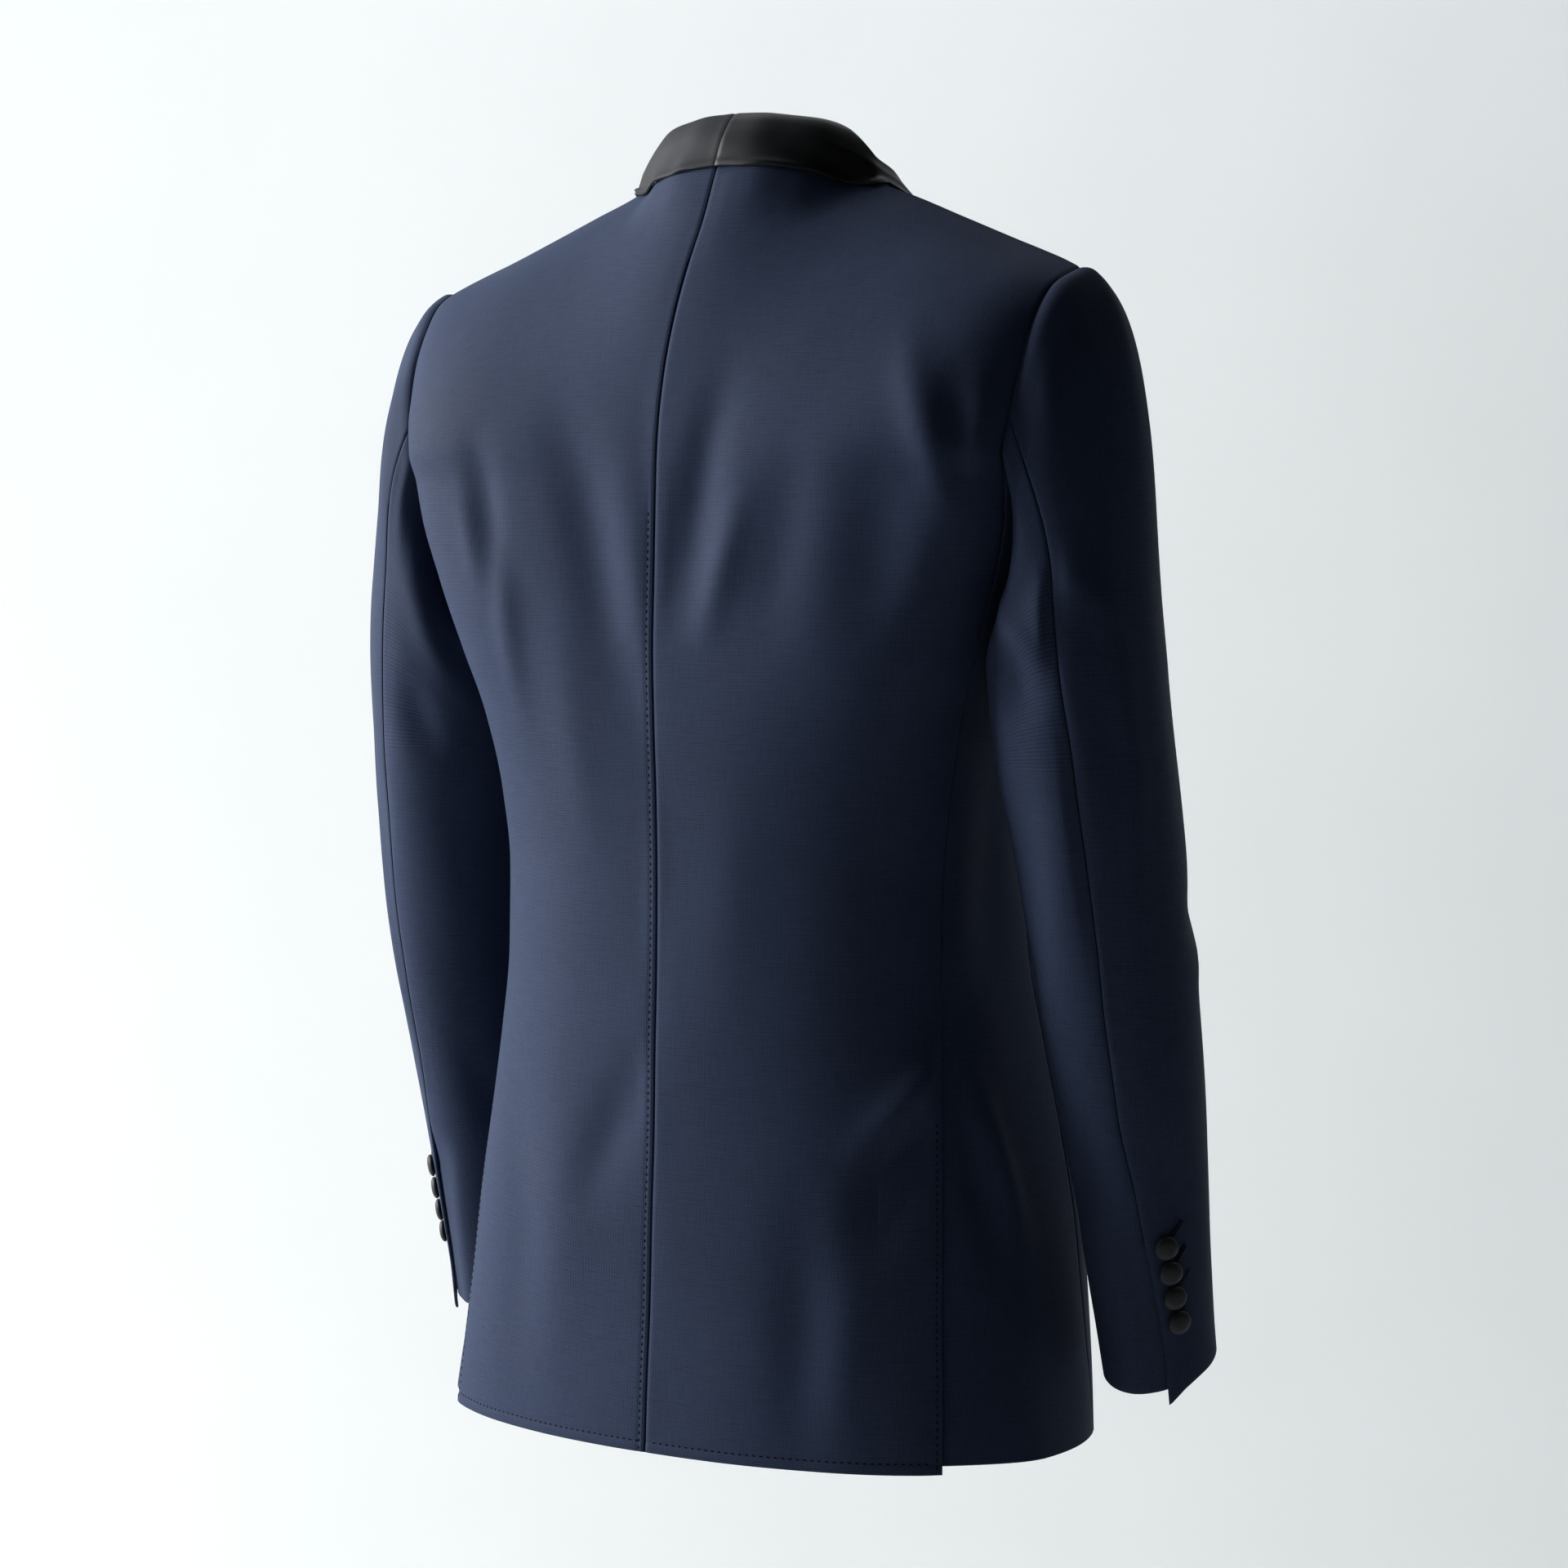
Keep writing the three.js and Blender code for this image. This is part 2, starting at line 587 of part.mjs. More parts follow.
function solid({ name, grid, normals, wall, mat }, side) {
  const R = grid.length,
    C = grid[0].length,
    out = grid.map((r) => r.map((p) => [...p])),
    shift = grid.map((r) => r.map(() => [0, 0, 0]));
  for (let i = 0; i < R; i++)
    for (let j = 0; j < C; j++) {
      const pull = (a, b) => (shift[i][j] = add(shift[i][j], unit(sub(grid[a][b], grid[i][j])), SEAM * 0.55));
      if (i === 0) pull(1, j);
      if (i === R - 1) pull(R - 2, j);
      if (j === 0) pull(i, 1);
      if (j === C - 1) pull(i, C - 2);
    }
  const pos = [],
    idx = [],
    id = (layer, i, j) => (layer * R + i) * C + j;
  for (let layer = 0; layer < 2; layer++)
    for (let i = 0; i < R; i++)
      for (let j = 0; j < C; j++) {
        const p = add(add(out[i][j], shift[i][j]), normals[i][j], layer ? -wall : 0);
        pos.push(p[0] * side, p[1], p[2]);
      }
  const quad = (a, b, c, d) => idx.push(a, b, c, a, c, d);
  for (let i = 0; i < R - 1; i++)
    for (let j = 0; j < C - 1; j++) {
      quad(id(0, i, j), id(0, i + 1, j), id(0, i + 1, j + 1), id(0, i, j + 1));
      quad(id(1, i, j), id(1, i, j + 1), id(1, i + 1, j + 1), id(1, i + 1, j));
    }
  // rim strips; each is split the same way on both pieces of a seam
  const rim = (a, b) => {
    const P = grid[a[0]][a[1]],
      Q = grid[b[0]][b[1]],
      low = P[2] !== Q[2] ? P[2] < Q[2] : P[1] !== Q[1] ? P[1] < Q[1] : P[0] < Q[0];
    if (low) quad(id(0, ...a), id(0, ...b), id(1, ...b), id(1, ...a));
    else quad(id(0, ...b), id(1, ...b), id(1, ...a), id(0, ...a));
  };
  for (let j = 0; j < C - 1; j++) {
    rim([0, j], [0, j + 1]);
    rim([R - 1, j + 1], [R - 1, j]);
  }
  for (let i = 0; i < R - 1; i++) {
    rim([i + 1, 0], [i, 0]);
    rim([i, C - 1], [i + 1, C - 1]);
  }
  let vol = 0;
  const v = (k) => [pos[3 * k], pos[3 * k + 1], pos[3 * k + 2]];
  for (let k = 0; k < idx.length; k += 3) vol += dot(v(idx[k]), cross(v(idx[k + 1]), v(idx[k + 2])));
  if (vol < 0) for (let k = 0; k < idx.length; k += 3) [idx[k + 1], idx[k + 2]] = [idx[k + 2], idx[k + 1]];
  const geo = new THREE.BufferGeometry();
  geo.setAttribute("position", new THREE.Float32BufferAttribute(pos, 3));
  geo.setIndex(idx);
  geo.computeVertexNormals();
  const m = new THREE.Mesh(geo, mat());
  m.name = name;
  return m;
}

// ---- materials ----
const wool = () => new THREE.MeshStandardMaterial({ color: 0x1a2333, roughness: 0.82, metalness: 0, flatShading: false });
const satin = () => new THREE.MeshStandardMaterial({ color: 0x0d0f13, roughness: 0.34, metalness: 0 });
const button = () => new THREE.MeshStandardMaterial({ color: 0x0c0e12, roughness: 0.42, metalness: 0 });

// ---- buttons: a low domed disc with its middle at p, facing n ----
function disc(name, p, n, dia, side) {
  const r = dia / 2,
    prof = [
      [0, 0],
      [r * 0.72, 0],
      [r, 1.3],
      [r, 2.1],
      [r * 0.8, 3.4],
      [r * 0.42, 4.1],
      [0, 4.3],
    ].map(([x, y]) => new THREE.Vector2(x, y));
  const g = new THREE.LatheGeometry(prof, 14);
  const q = new THREE.Quaternion().setFromUnitVectors(new THREE.Vector3(0, 1, 0), new THREE.Vector3(n[0] * side, n[1], n[2]));
  g.applyQuaternion(q);
  g.translate(p[0] * side, p[1], p[2]);
  const m = new THREE.Mesh(g, button());
  m.name = name;
  return m;
}

// ---- assembly ----
const group = new THREE.Group();
for (const [word, side] of [["left", 1], ["right", -1]]) {
  sheets.length = 0;
  const left = side > 0;
  sheet("back_" + word, backGrid(), WOOL, wool, trunk);
  sheet("front_" + word, frontGrid(left), WOOL, wool, trunk);
  sheet("side_" + word, sideGrid(), WOOL, wool, trunk);
  sheet("topsleeve_" + word, sleeveGrid(0, HIND, false), WOOL, wool, limb);
  sheet("undersleeve_" + word, sleeveGrid(HIND, HEAD.th.length - 1, true), WOOL, wool, limb);
  const c = collarGrids(left);
  mitre();
  for (const s of sheets) group.add(solid(s, side));
  sheets.length = 0;
  sheet("collar_" + word, c.fall, SATIN, satin, neckCore);
  sheet("collar_stand_" + word, c.stand, SATIN, satin, neckCore);
  for (const s of sheets) {
    group.add(solid(s, side));
  }
  // sleeve buttons on the topsleeve beside its vent edge
  for (let i = 0; i < CUFF_COUNT; i++) {
    const z = CUFF_FIRST + i * CUFF_PITCH,
      tilt = CUFF_SLOPE * soft(-480, CUFF, z),
      th = HEAD.th[HIND] - 17,
      p = tube(th, z, tilt),
      a = tube(th + 3, z, tilt),
      b = tube(th, z - 4, tilt);
    let n = unit(cross(sub(a, p), sub(b, p)));
    if (n[0] < 0) n = n.map((v) => -v);
    group.add(disc("cuff_button_" + word + "_" + (i + 1), add(p, n, 1.1), n, CUFF_BUTTON, side));
  }
}
const bp = ring(180, BUTTON_Z, LAP);
group.add(disc("front_button", add(bp, [0, -1, 0], 1.0), [0, -1, 0], FRONT_BUTTON, 1));

export default group;
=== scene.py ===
# Looks of the tuxedo jacket: fine cloth shells on the same master surface as its solids, folds placed one by one,
# seams, pick stitching, covered buttons, wool and satin. Lengths in the tables are millimetres, in the row's frame.
import math

import bpy
import numpy as np
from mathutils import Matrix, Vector


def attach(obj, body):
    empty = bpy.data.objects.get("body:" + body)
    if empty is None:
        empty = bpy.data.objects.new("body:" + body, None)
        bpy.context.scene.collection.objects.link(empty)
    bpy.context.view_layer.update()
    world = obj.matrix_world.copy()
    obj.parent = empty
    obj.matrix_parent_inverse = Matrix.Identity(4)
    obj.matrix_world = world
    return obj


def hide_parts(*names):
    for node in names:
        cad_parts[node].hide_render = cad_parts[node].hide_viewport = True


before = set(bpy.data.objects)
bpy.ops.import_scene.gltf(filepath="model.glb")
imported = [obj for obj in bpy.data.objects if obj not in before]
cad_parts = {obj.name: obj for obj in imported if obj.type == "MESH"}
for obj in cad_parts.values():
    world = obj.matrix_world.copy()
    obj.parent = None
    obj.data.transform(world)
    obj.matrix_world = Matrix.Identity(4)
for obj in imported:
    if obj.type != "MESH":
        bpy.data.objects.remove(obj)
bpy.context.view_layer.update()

# ==== geometry: tables ====
def table(cols, rows):
    return {c: np.array([r[j] for r in rows], float) for j, c in enumerate(cols)}


class Curve:
    """Monotone cubic through (x, y); x may rise or fall."""

    def __init__(self, x, y):
        x, y = np.asarray(x, float), np.asarray(y, float)
        if x[-1] < x[0]:
            x, y = x[::-1], y[::-1]
        n = len(x)
        h = np.diff(x)
        d = np.diff(y) / h
        m = np.empty(n)
        m[0], m[-1] = d[0], d[-1]
        for i in range(1, n - 1):
            if d[i - 1] * d[i] <= 0:
                m[i] = 0
            else:
                w1, w2 = 2 * h[i] + h[i - 1], h[i] + 2 * h[i - 1]
                m[i] = (w1 + w2) / (w1 / d[i - 1] + w2 / d[i])
        self.x, self.y, self.m = x, y, m

    def __call__(self, v):
        v = np.clip(np.asarray(v, float), self.x[0], self.x[-1])
        i = np.clip(np.searchsorted(self.x, v, side="right") - 1, 0, len(self.x) - 2)
        h = self.x[i + 1] - self.x[i]
        t = (v - self.x[i]) / h
        t2, t3 = t * t, t * t * t
        return (
            (2 * t3 - 3 * t2 + 1) * self.y[i]
            + (t3 - 2 * t2 + t) * h * self.m[i]
            + (3 * t2 - 2 * t3) * self.y[i + 1]
            + (t3 - t2) * h * self.m[i + 1]
        )


def curves(t, key):
    return {k: Curve(t[key], t[k]) for k in t}


CHEST, HEM, SCYE = -190.0, -755.0, 62.0
VENT_TOP, VENT_UNDER, VENT_STEP = -505.0, 34.0, 2.7
CUFF_VENT, CUFF_UNDER, CUFF, CUFF_SLOPE, CUFF_POINT = -618.0, 12.0, -706.0, 0.36, 9.0
LAY, LAP = 3.1, 3.3
BUTTON_Z, FRONT_BUTTON, CUFF_BUTTON, CUFF_PITCH, CUFF_COUNT, CUFF_FIRST = -420.0, 21.0, 14.3, 14.8, 4, -667.0
BODY = curves(table(["z", "half", "back", "front", "nb", "nf"], [
    [-180, 211.5, 101.9, 119, 4.4, 2.7],
    [-215, 202.5, 103.2, 122, 4.4, 2.7],
    [-250, 189.0, 104.3, 125, 4.3, 2.6],
    [-290, 175.0, 105.7, 126, 3.8, 2.5],
    [-330, 163.5, 104.7, 126, 3.2, 2.45],
    [-375, 157.5, 102.6, 125, 2.7, 2.6],
    [-420, 155.5, 101.7, 128, 2.4, 3.0],
    [-470, 157.0, 102.3, 134, 2.35, 3.55],
    [-520, 164.5, 104.1, 141, 2.25, 3.75],
    [-570, 174.4, 105.3, 145, 2.2, 3.8],
    [-620, 183.7, 107.9, 145, 2.2, 3.8],
    [-670, 191.5, 109.9, 144.5, 2.2, 3.5],
    [-720, 200.0, 113.5, 143, 2.2, 3.15],
    [-755, 206.0, 115.3, 141, 2.2, 2.85],
]), "z")
SIDE = curves(table(["z", "backSeam", "frontSeam"], [
    [-190, 74.5, 107.5],
    [-255, 78.3, 109],
    [-330, 79.3, 111],
    [-420, 78.3, 113],
    [-465, 77.6, 113],
    [-505, 76.1, 113],
    [-565, 73.9, 112.5],
    [-615, 72.1, 112],
    [-665, 70.7, 111],
    [-712, 69.6, 110],
    [-755, 68.5, 110],
]), "z")
UNDERARM = Curve([0, 0.17, 0.34, 0.5, 0.66, 0.83, 1], [0, 0.52, 0.87, 1, 0.93, 0.6, 0])
UNDERARM_F = [0, 0.17, 0.34, 0.5, 0.66, 0.83, 1]
TOP = table(["t", "x", "y", "z"], [
    [0, 0, 31, 5],
    [0.12, 25, 28.5, 4],
    [0.24, 50, 17, -2],
    [0.36, 76, -4, -13],
    [0.45, 94, -5, -21],
    [0.54, 115, -5, -29],
    [0.63, 137, -4.5, -38],
    [0.72, 158, -4, -46.5],
    [0.8, 178, -3, -54.5],
    [0.87, 195, -1.5, -61],
    [0.94, 210, 0, -67],
    [1, 222, 2, -72.5],
])
BACK_FALL = curves(table(["t", "dx", "dy", "dz", "top", "foot"], [
    [0, 0, 0.53, -0.85, 100, 60],
    [0.24, 0, 0.66, -0.75, 90, 66],
    [0.36, 0, 0.8, -0.6, 80, 70],
    [0.7, 0.02, 0.95, -0.3, 66, 72],
    [1, 0, 0.95, -0.3, 62, 60],
]), "t")
FRONT_FALL = curves(table(["t", "dx", "dy", "dz", "top", "foot"], [
    [0.36, 0.12, -0.9, -0.42, 78, 70],
    [0.7, 0.02, -0.94, -0.34, 72, 66],
    [1, 0, -0.95, -0.3, 60, 50],
]), "t")
ARM_BACK = np.array([
    [222, 2, -72.5], [220, 13, -76.5], [217.5, 25.3, -82.6], [215.4, 39, -97.5],
    [214, 51, -120], [211.9, 58, -142], [210, 62, -157.5], [206.9, 64, -175]], float)
ARM_FRONT = np.array([
    [222, 2, -72.5], [220, -13, -77], [216, -28, -86], [211, -42, -101],
    [206, -52.5, -121], [202, -58.5, -142], [199.5, -61.5, -160], [198, -62.5, -176]], float)
FRONT_EDGE = Curve(
    [-190, -240, -290, -335, -370, -388, -402, -420, -450, -490, -530, -575, -620, -665, -705, -732, -748, -755],
    [56, 46, 33, 20, 11, 4, -9, -18, -19, -12, 0, 17, 36, 58, 82, 103, 124, 146])
ROLL = np.array([
    [76, -4, -13], [81, -19, -19], [84, -37, -31], [83, -57, -50],
    [80, -75, -75], [75, -90, -103], [69, -102, -133], [62.5, -111, -162]], float)
LAPEL = curves(table(["z", "width", "lift"], [
    [-13, 14, 9.5], [-31, 22, 3.5], [-75, 38, 3.2], [-133, 60, 4], [-190, 74, 3.6],
    [-255, 78, 3.2], [-300, 70, 2.6], [-340, 48, 1.8], [-370, 24, 0.9], [-386, 9, 0.2],
]), "z")
COLLAR = np.array([
    # fold x y z, outer edge x y z, rounding
    [0, 13.5, 25, 0, 45.5, -7.5, 6],
    [18, 12, 24.5, 19, 42.8, -7.2, 6],
    [35, 7.5, 22.6, 37, 35, -8, 5.5],
    [51, 2, 20.2, 54.5, 26.6, -11.2, 5],
    [64, -3.5, 15.2, 72, 16.6, -18.2, 2.6]], float)
ARM = curves(table(["z", "cx", "cy", "a", "b", "twist"], [
    [-200, 216.3, 3.7, 46.3, 53.2, 0],
    [-250, 219.8, 4.2, 48.1, 55.4, 2],
    [-300, 221.5, 1.1, 50.1, 57.6, 0],
    [-350, 224.0, -4.9, 50.2, 57.8, -3],
    [-400, 228.8, -11.6, 47.9, 55.1, -2],
    [-450, 232.2, -18.7, 46.1, 53.1, -2],
    [-500, 234.7, -27.9, 44.2, 50.8, 0],
    [-550, 236.2, -38.6, 41.4, 47.6, 0],
    [-600, 236.9, -49.0, 38.4, 44.4, -7],
    [-650, 237.9, -58.5, 35.3, 41.3, -14],
    [-690, 239.0, -66.5, 32.8, 38.9, -19],
    [-740, 240.5, -76.5, 31.0, 37.0, -21],
]), "z")
HEAD_T = table(["th", "dx", "dy", "dz", "pull", "tube"], [
    [-128, 0.5, -0.3, -0.8, 20, -275],
    [-117, 0.55, -0.35, -0.76, 24, -268],
    [-106, 0.6, -0.38, -0.7, 27, -262],
    [-94, 0.65, -0.4, -0.65, 30, -256],
    [-80, 0.72, -0.4, -0.58, 32, -252],
    [-63, 0.8, -0.36, -0.48, 33, -250],
    [-44, 0.88, -0.25, -0.4, 32, -250],
    [-22, 0.97, -0.12, -0.16, 38, -250],
    [0, 0.98, 0, -0.12, 40, -250],
    [15, 0.97, 0.08, -0.18, 38, -250],
    [29, 0.94, 0.16, -0.3, 36, -250],
    [42, 0.82, 0.25, -0.52, 33, -250],
    [53, 0.7, 0.3, -0.65, 36, -250],
    [61, 0.56, 0.28, -0.78, 38, -250],
    [70, 0.42, 0.22, -0.88, 36, -250],
    [84, 0.4, 0.12, -0.9, 30, -255],
    [100, 0.42, 0.02, -0.9, 22, -266],
    [119, 0.5, -0.04, -0.86, 16, -282],
    [139, 0.55, 0, -0.83, 13, -296],
    [160, 0.6, 0, -0.8, 11, -304],
    [183, 0.6, 0, -0.8, 11, -304],
    [208, 0.55, 0, -0.83, 14, -292],
    [232, 0.5, -0.3, -0.8, 20, -275],
])
HIND = 14
HEAD = {k: Curve(np.arange(23), v) for k, v in HEAD_T.items()}
UPPER_ROWS = [0, 0.12, 0.25, 0.38, 0.51, 0.64, 0.76, 0.88, 1]
HPS_T = 0.36


# ==== geometry: master surface ====
def unit(a):
    return a / np.maximum(np.linalg.norm(a, axis=-1, keepdims=True), 1e-9)


def soft(a, b, v):
    t = np.clip((np.asarray(v, float) - a) / (b - a), 0, 1)
    return t * t * (3 - 2 * t)


def ring(phi, z, off=0.0):
    phi, z = np.broadcast_arrays(np.asarray(phi, float), np.asarray(z, float))
    c, s = np.cos(np.radians(phi)), np.sin(np.radians(phi))
    n = np.where(c > 0, BODY["nb"](z), BODY["nf"](z))
    B = np.where(c > 0, BODY["back"](z), BODY["front"](z))
    A = BODY["half"](z)
    r = ((np.abs(c) / B) ** n + (np.abs(s) / A) ** n) ** (-1 / n)
    p = np.stack([r * s, r * c, z], -1)
    g = np.stack([
        np.sign(p[..., 0]) * (np.abs(p[..., 0]) / A) ** (n - 1) / A,
        np.sign(p[..., 1]) * (np.abs(p[..., 1]) / B) ** (n - 1) / B,
        np.zeros_like(r)], -1)
    return p + unit(g) * np.asarray(off, float)[..., None]


def body_x(y, z):
    n = np.where(y > 0, BODY["nb"](z), BODY["nf"](z))
    B = np.where(y > 0, BODY["back"](z), BODY["front"](z))
    q = 1 - np.minimum(1, np.abs(y) / B) ** n
    return BODY["half"](z) * q ** (1 / n)


def bezier(p0, p1, p2, p3, s):
    s = s[..., None]
    r = 1 - s
    return r**3 * p0 + 3 * r * r * s * p1 + 3 * r * s * s * p2 + s**3 * p3


top_line = [Curve(TOP["t"], TOP[k]) for k in "xyz"]


def fall(F, t, s, phi):
    T = np.stack([c(t) for c in top_line], -1)
    d = unit(np.stack([F["dx"](t), F["dy"](t), F["dz"](t)], -1))
    B = ring(phi, CHEST + 0 * phi)
    up = unit(B - ring(phi, CHEST - 8 + 0 * phi))
    return bezier(T, T + d * F["top"](t)[..., None], B + up * F["foot"](t)[..., None], B, s)


BACK_SEAM, FRONT_SEAM = float(SIDE["backSeam"](CHEST)), float(SIDE["frontSeam"](CHEST))


def edge_phi(x, z):
    y = -BODY["front"](z) * (1 - (np.abs(x) / BODY["half"](z)) ** BODY["nf"](z)) ** (1 / BODY["nf"](z))
    a = np.degrees(np.arctan2(x, y))
    return np.where(a < 0, a + 360, a)


PHI_END = float(edge_phi(FRONT_EDGE(CHEST), np.array(CHEST)))


def line3(rows, pts):
    return [Curve(rows, pts[:, k]) for k in range(3)]


arm_back = line3(UPPER_ROWS, np.vstack([ARM_BACK, ring(BACK_SEAM, CHEST)]))
arm_front = line3(UPPER_ROWS, np.vstack([ARM_FRONT, ring(FRONT_SEAM, CHEST)]))
roll_line = line3(UPPER_ROWS, np.vstack([ROLL, ring(PHI_END, CHEST)]))


def on(line, s):
    return np.stack([c(s) for c in line], -1)


def rows_of(upper, lower):
    """Row list: pairs (s, z); s below 1 lies above the CHEST ring."""
    return [(s, None) for s in upper] + [(None, z) for z in lower]


def back_grid(rows, t):
    out = []
    for s, z in rows:
        if z is None:
            ss = np.full_like(t, s)
            p = fall(BACK_FALL, t, ss, BACK_SEAM * t)
            e = on(arm_back, s) - fall(BACK_FALL, np.array([1.0]), np.array([s]), np.array([BACK_SEAM]))[0]
            out.append(p + e * (t**3)[:, None])
        else:
            out.append(ring(SIDE["backSeam"](z) * t, np.full_like(t, z)))
    return np.array(out)


def lap_over(p, left):
    if not left:
        return np.zeros(p.shape[:-1])
    return LAP * soft(46, 22, p[..., 0]) * soft(-345, -385, p[..., 2]) * (1 - soft(-545, -600, p[..., 2]))


def front_grid(rows, u, left):
    t = 1 - u * (1 - HPS_T)
    out = []
    for s, z in rows:
        if z is None:
            ss = np.full_like(t, s)
            p = fall(FRONT_FALL, t, ss, FRONT_SEAM + (PHI_END - FRONT_SEAM) * u)
            ea = on(arm_front, s) - fall(FRONT_FALL, np.array([1.0]), np.array([s]), np.array([FRONT_SEAM]))[0]
            er = on(roll_line, s) - fall(FRONT_FALL, np.array([HPS_T]), np.array([s]), np.array([PHI_END]))[0]
            out.append(p + ea * ((1 - u) ** 3)[:, None] + er * (u**2)[:, None])
        else:
            zz = np.full_like(t, z)
            a, b = SIDE["frontSeam"](z), edge_phi(FRONT_EDGE(z), np.array(z))
            phi = a + (b - a) * u
            out.append(ring(phi, zz, lap_over(ring(phi, zz), left)))
    return np.array(out)


def side_point(f, z):
    a, b = SIDE["backSeam"](z), SIDE["frontSeam"](z)
    dip = -SCYE * UNDERARM(f) * (1 - soft(CHEST, CHEST - 175, z))
    zz = z + dip
    a0, b0 = SIDE["backSeam"](zz), SIDE["frontSeam"](zz)
    w = np.clip(np.minimum(f, 1 - f) / 0.17, 0, 1)
    phi = (a + (b - a) * f) * (1 - w) + (a0 + (b0 - a0) * f) * w
    step = soft(-465, VENT_TOP, z) * VENT_STEP * (1 - soft(0.15, 0.5, f))
    return ring(phi, zz, -step)


def side_grid(z, f):
    return side_point(f[None, :] + 0 * z[:, None], z[:, None] + 0 * f[None, :])


def arm_hole(k):
    """Closed armhole by column number of HEAD."""
    k = np.asarray(k, float)
    idx = np.arange(9)
    s_of = Curve(idx, UPPER_ROWS)
    f_of = Curve(np.arange(7), UNDERARM_F)
    A = on(arm_front, s_of(np.clip(8 - k, 0, 8)))
    B = on(arm_back, s_of(np.clip(k - 8, 0, 8)))
    S = side_point(f_of(np.clip(k - 16, 0, 6)), np.full_like(k, CHEST))
    return np.where((k <= 8)[..., None], A, np.where((k <= 16)[..., None], B, S))


def tube(th, z, tilt):
    bow = ARM["b"](z) * np.sin(np.radians(th + ARM["twist"](z)))
    zz = z - tilt * bow
    w = np.radians(th + ARM["twist"](zz))
    x = ARM["cx"](zz) + ARM["a"](zz) * np.cos(w)
    y = ARM["cy"](zz) + ARM["b"](zz) * np.sin(w)
    clear = body_x(y, zz) + 3.2
    e = 2.0
    xs = 0.5 * (x + clear + np.sqrt((x - clear) ** 2 + e * e))
    x = np.where(np.cos(w) < 0.4, np.where(x < clear + 12, np.maximum(xs - 0.2, x), x), x)
    return np.stack([x, y, zz], -1)


def sleeve_grid(head_s, neck_w, low_z, k, under):
    """Rows: sleeve head from the armhole, the stretch down to -355, then levels."""
    out = []
    P = arm_hole(k)
    th, tb = HEAD["th"](k), HEAD["tube"](k)
    Q = tube(th, tb, 0 * th)
    Rr = tube(th, tb - 10, 0 * th)
    d = unit(np.stack([HEAD["dx"](k), HEAD["dy"](k), HEAD["dz"](k)], -1))
    up = unit(Q - Rr)
    span = np.linalg.norm(P - Q, axis=-1)
    for s in head_s:
        p = bezier(P, P + d * HEAD["pull"](k)[:, None], Q + up * (0.36 * span)[:, None], Q, np.full_like(th, s))
        near = 3.2 * np.minimum(1, s * span / 12)
        m = (p[:, 2] < -195) & (np.abs(p[:, 1]) < 66) & (k > HIND + 1)
        p[:, 0] = np.where(m, np.maximum(p[:, 0], body_x(p[:, 1], p[:, 2]) + near), p[:, 0])
        out.append(p)
    for w in neck_w:
        z = tb + (-355 - tb) * w
        out.append(tube(th, z, 0 * th))
    k0 = k[0]
    for z in low_z:
        tilt = CUFF_SLOPE * soft(-480, CUFF, z) + 0 * th
        if under:
            lap = np.degrees(CUFF_UNDER / ARM["b"](z)) * soft(CUFF_VENT, CUFF_VENT - 12, z)
            p = tube(th - lap * np.clip(1 - (k - k0), 0, 1), z + 0 * th, tilt)
            step = soft(-588, CUFF_VENT, z) * (VENT_STEP + 0.1) * (1 - soft(k0 + 1, k0 + 2.6, k))
            c = np.stack([ARM["cx"](p[:, 2]), ARM["cy"](p[:, 2]), p[:, 2]], -1)
            p = p + unit(c - p) * step[:, None]
        else:
            p = tube(th, z + 0 * th, tilt)
            drop = CUFF_POINT * np.clip((k - HIND + 4) / 4, 0, 1) ** 1.6 * soft(CUFF + 22, CUFF, z)
            p[:, 2] -= drop
        out.append(p)
    return np.array(out)


def grid_normals(g):
    """Unit normals of a grid, by central differences."""
    du = np.empty_like(g)
    dv = np.empty_like(g)
    du[:, 1:-1] = g[:, 2:] - g[:, :-2]
    du[:, 0], du[:, -1] = g[:, 1] - g[:, 0], g[:, -1] - g[:, -2]
    dv[1:-1] = g[2:] - g[:-2]
    dv[0], dv[-1] = g[1] - g[0], g[-1] - g[-2]
    return unit(np.cross(dv, du))


def face_out(g, n, core):
    return -n if np.sum(n * (g - core)) < 0 else n


def arc(g, axis):
    d = np.linalg.norm(np.diff(g, axis=axis), axis=-1)
    z = np.zeros_like(g[..., 0])
    if axis == 1:
        z[:, 1:] = np.cumsum(d, 1)
    else:
        z[1:] = np.cumsum(d, 0)
    return z


def spaced(length, fine_a, fine_b, coarse):
    """Fractions 0..1 along a length: fine near the ends asked for, growing to coarse between."""
    pos = [0.0]
    step = 0.7 if fine_a else coarse
    left, right = [0.0], [0.0]
    x, st = 0.0, 0.7 if fine_a else coarse
    while x + st < length / 2:
        x += st
        left.append(x)
        st = min(coarse, st * (1.0 if x < 6 else 1.25)) if st < coarse else coarse
    x, st = 0.0, 0.7 if fine_b else coarse
    while x + st < length / 2:
        x += st
        right.append(x)
        st = min(coarse, st * (1.0 if x < 6 else 1.25)) if st < coarse else coarse
    a = np.array(left + [length - v for v in right[::-1]])
    a = a[np.r_[True, np.diff(a) > 0.3]]
    return (a - a[0]) / (a[-1] - a[0])
# ==== end of geometry ====

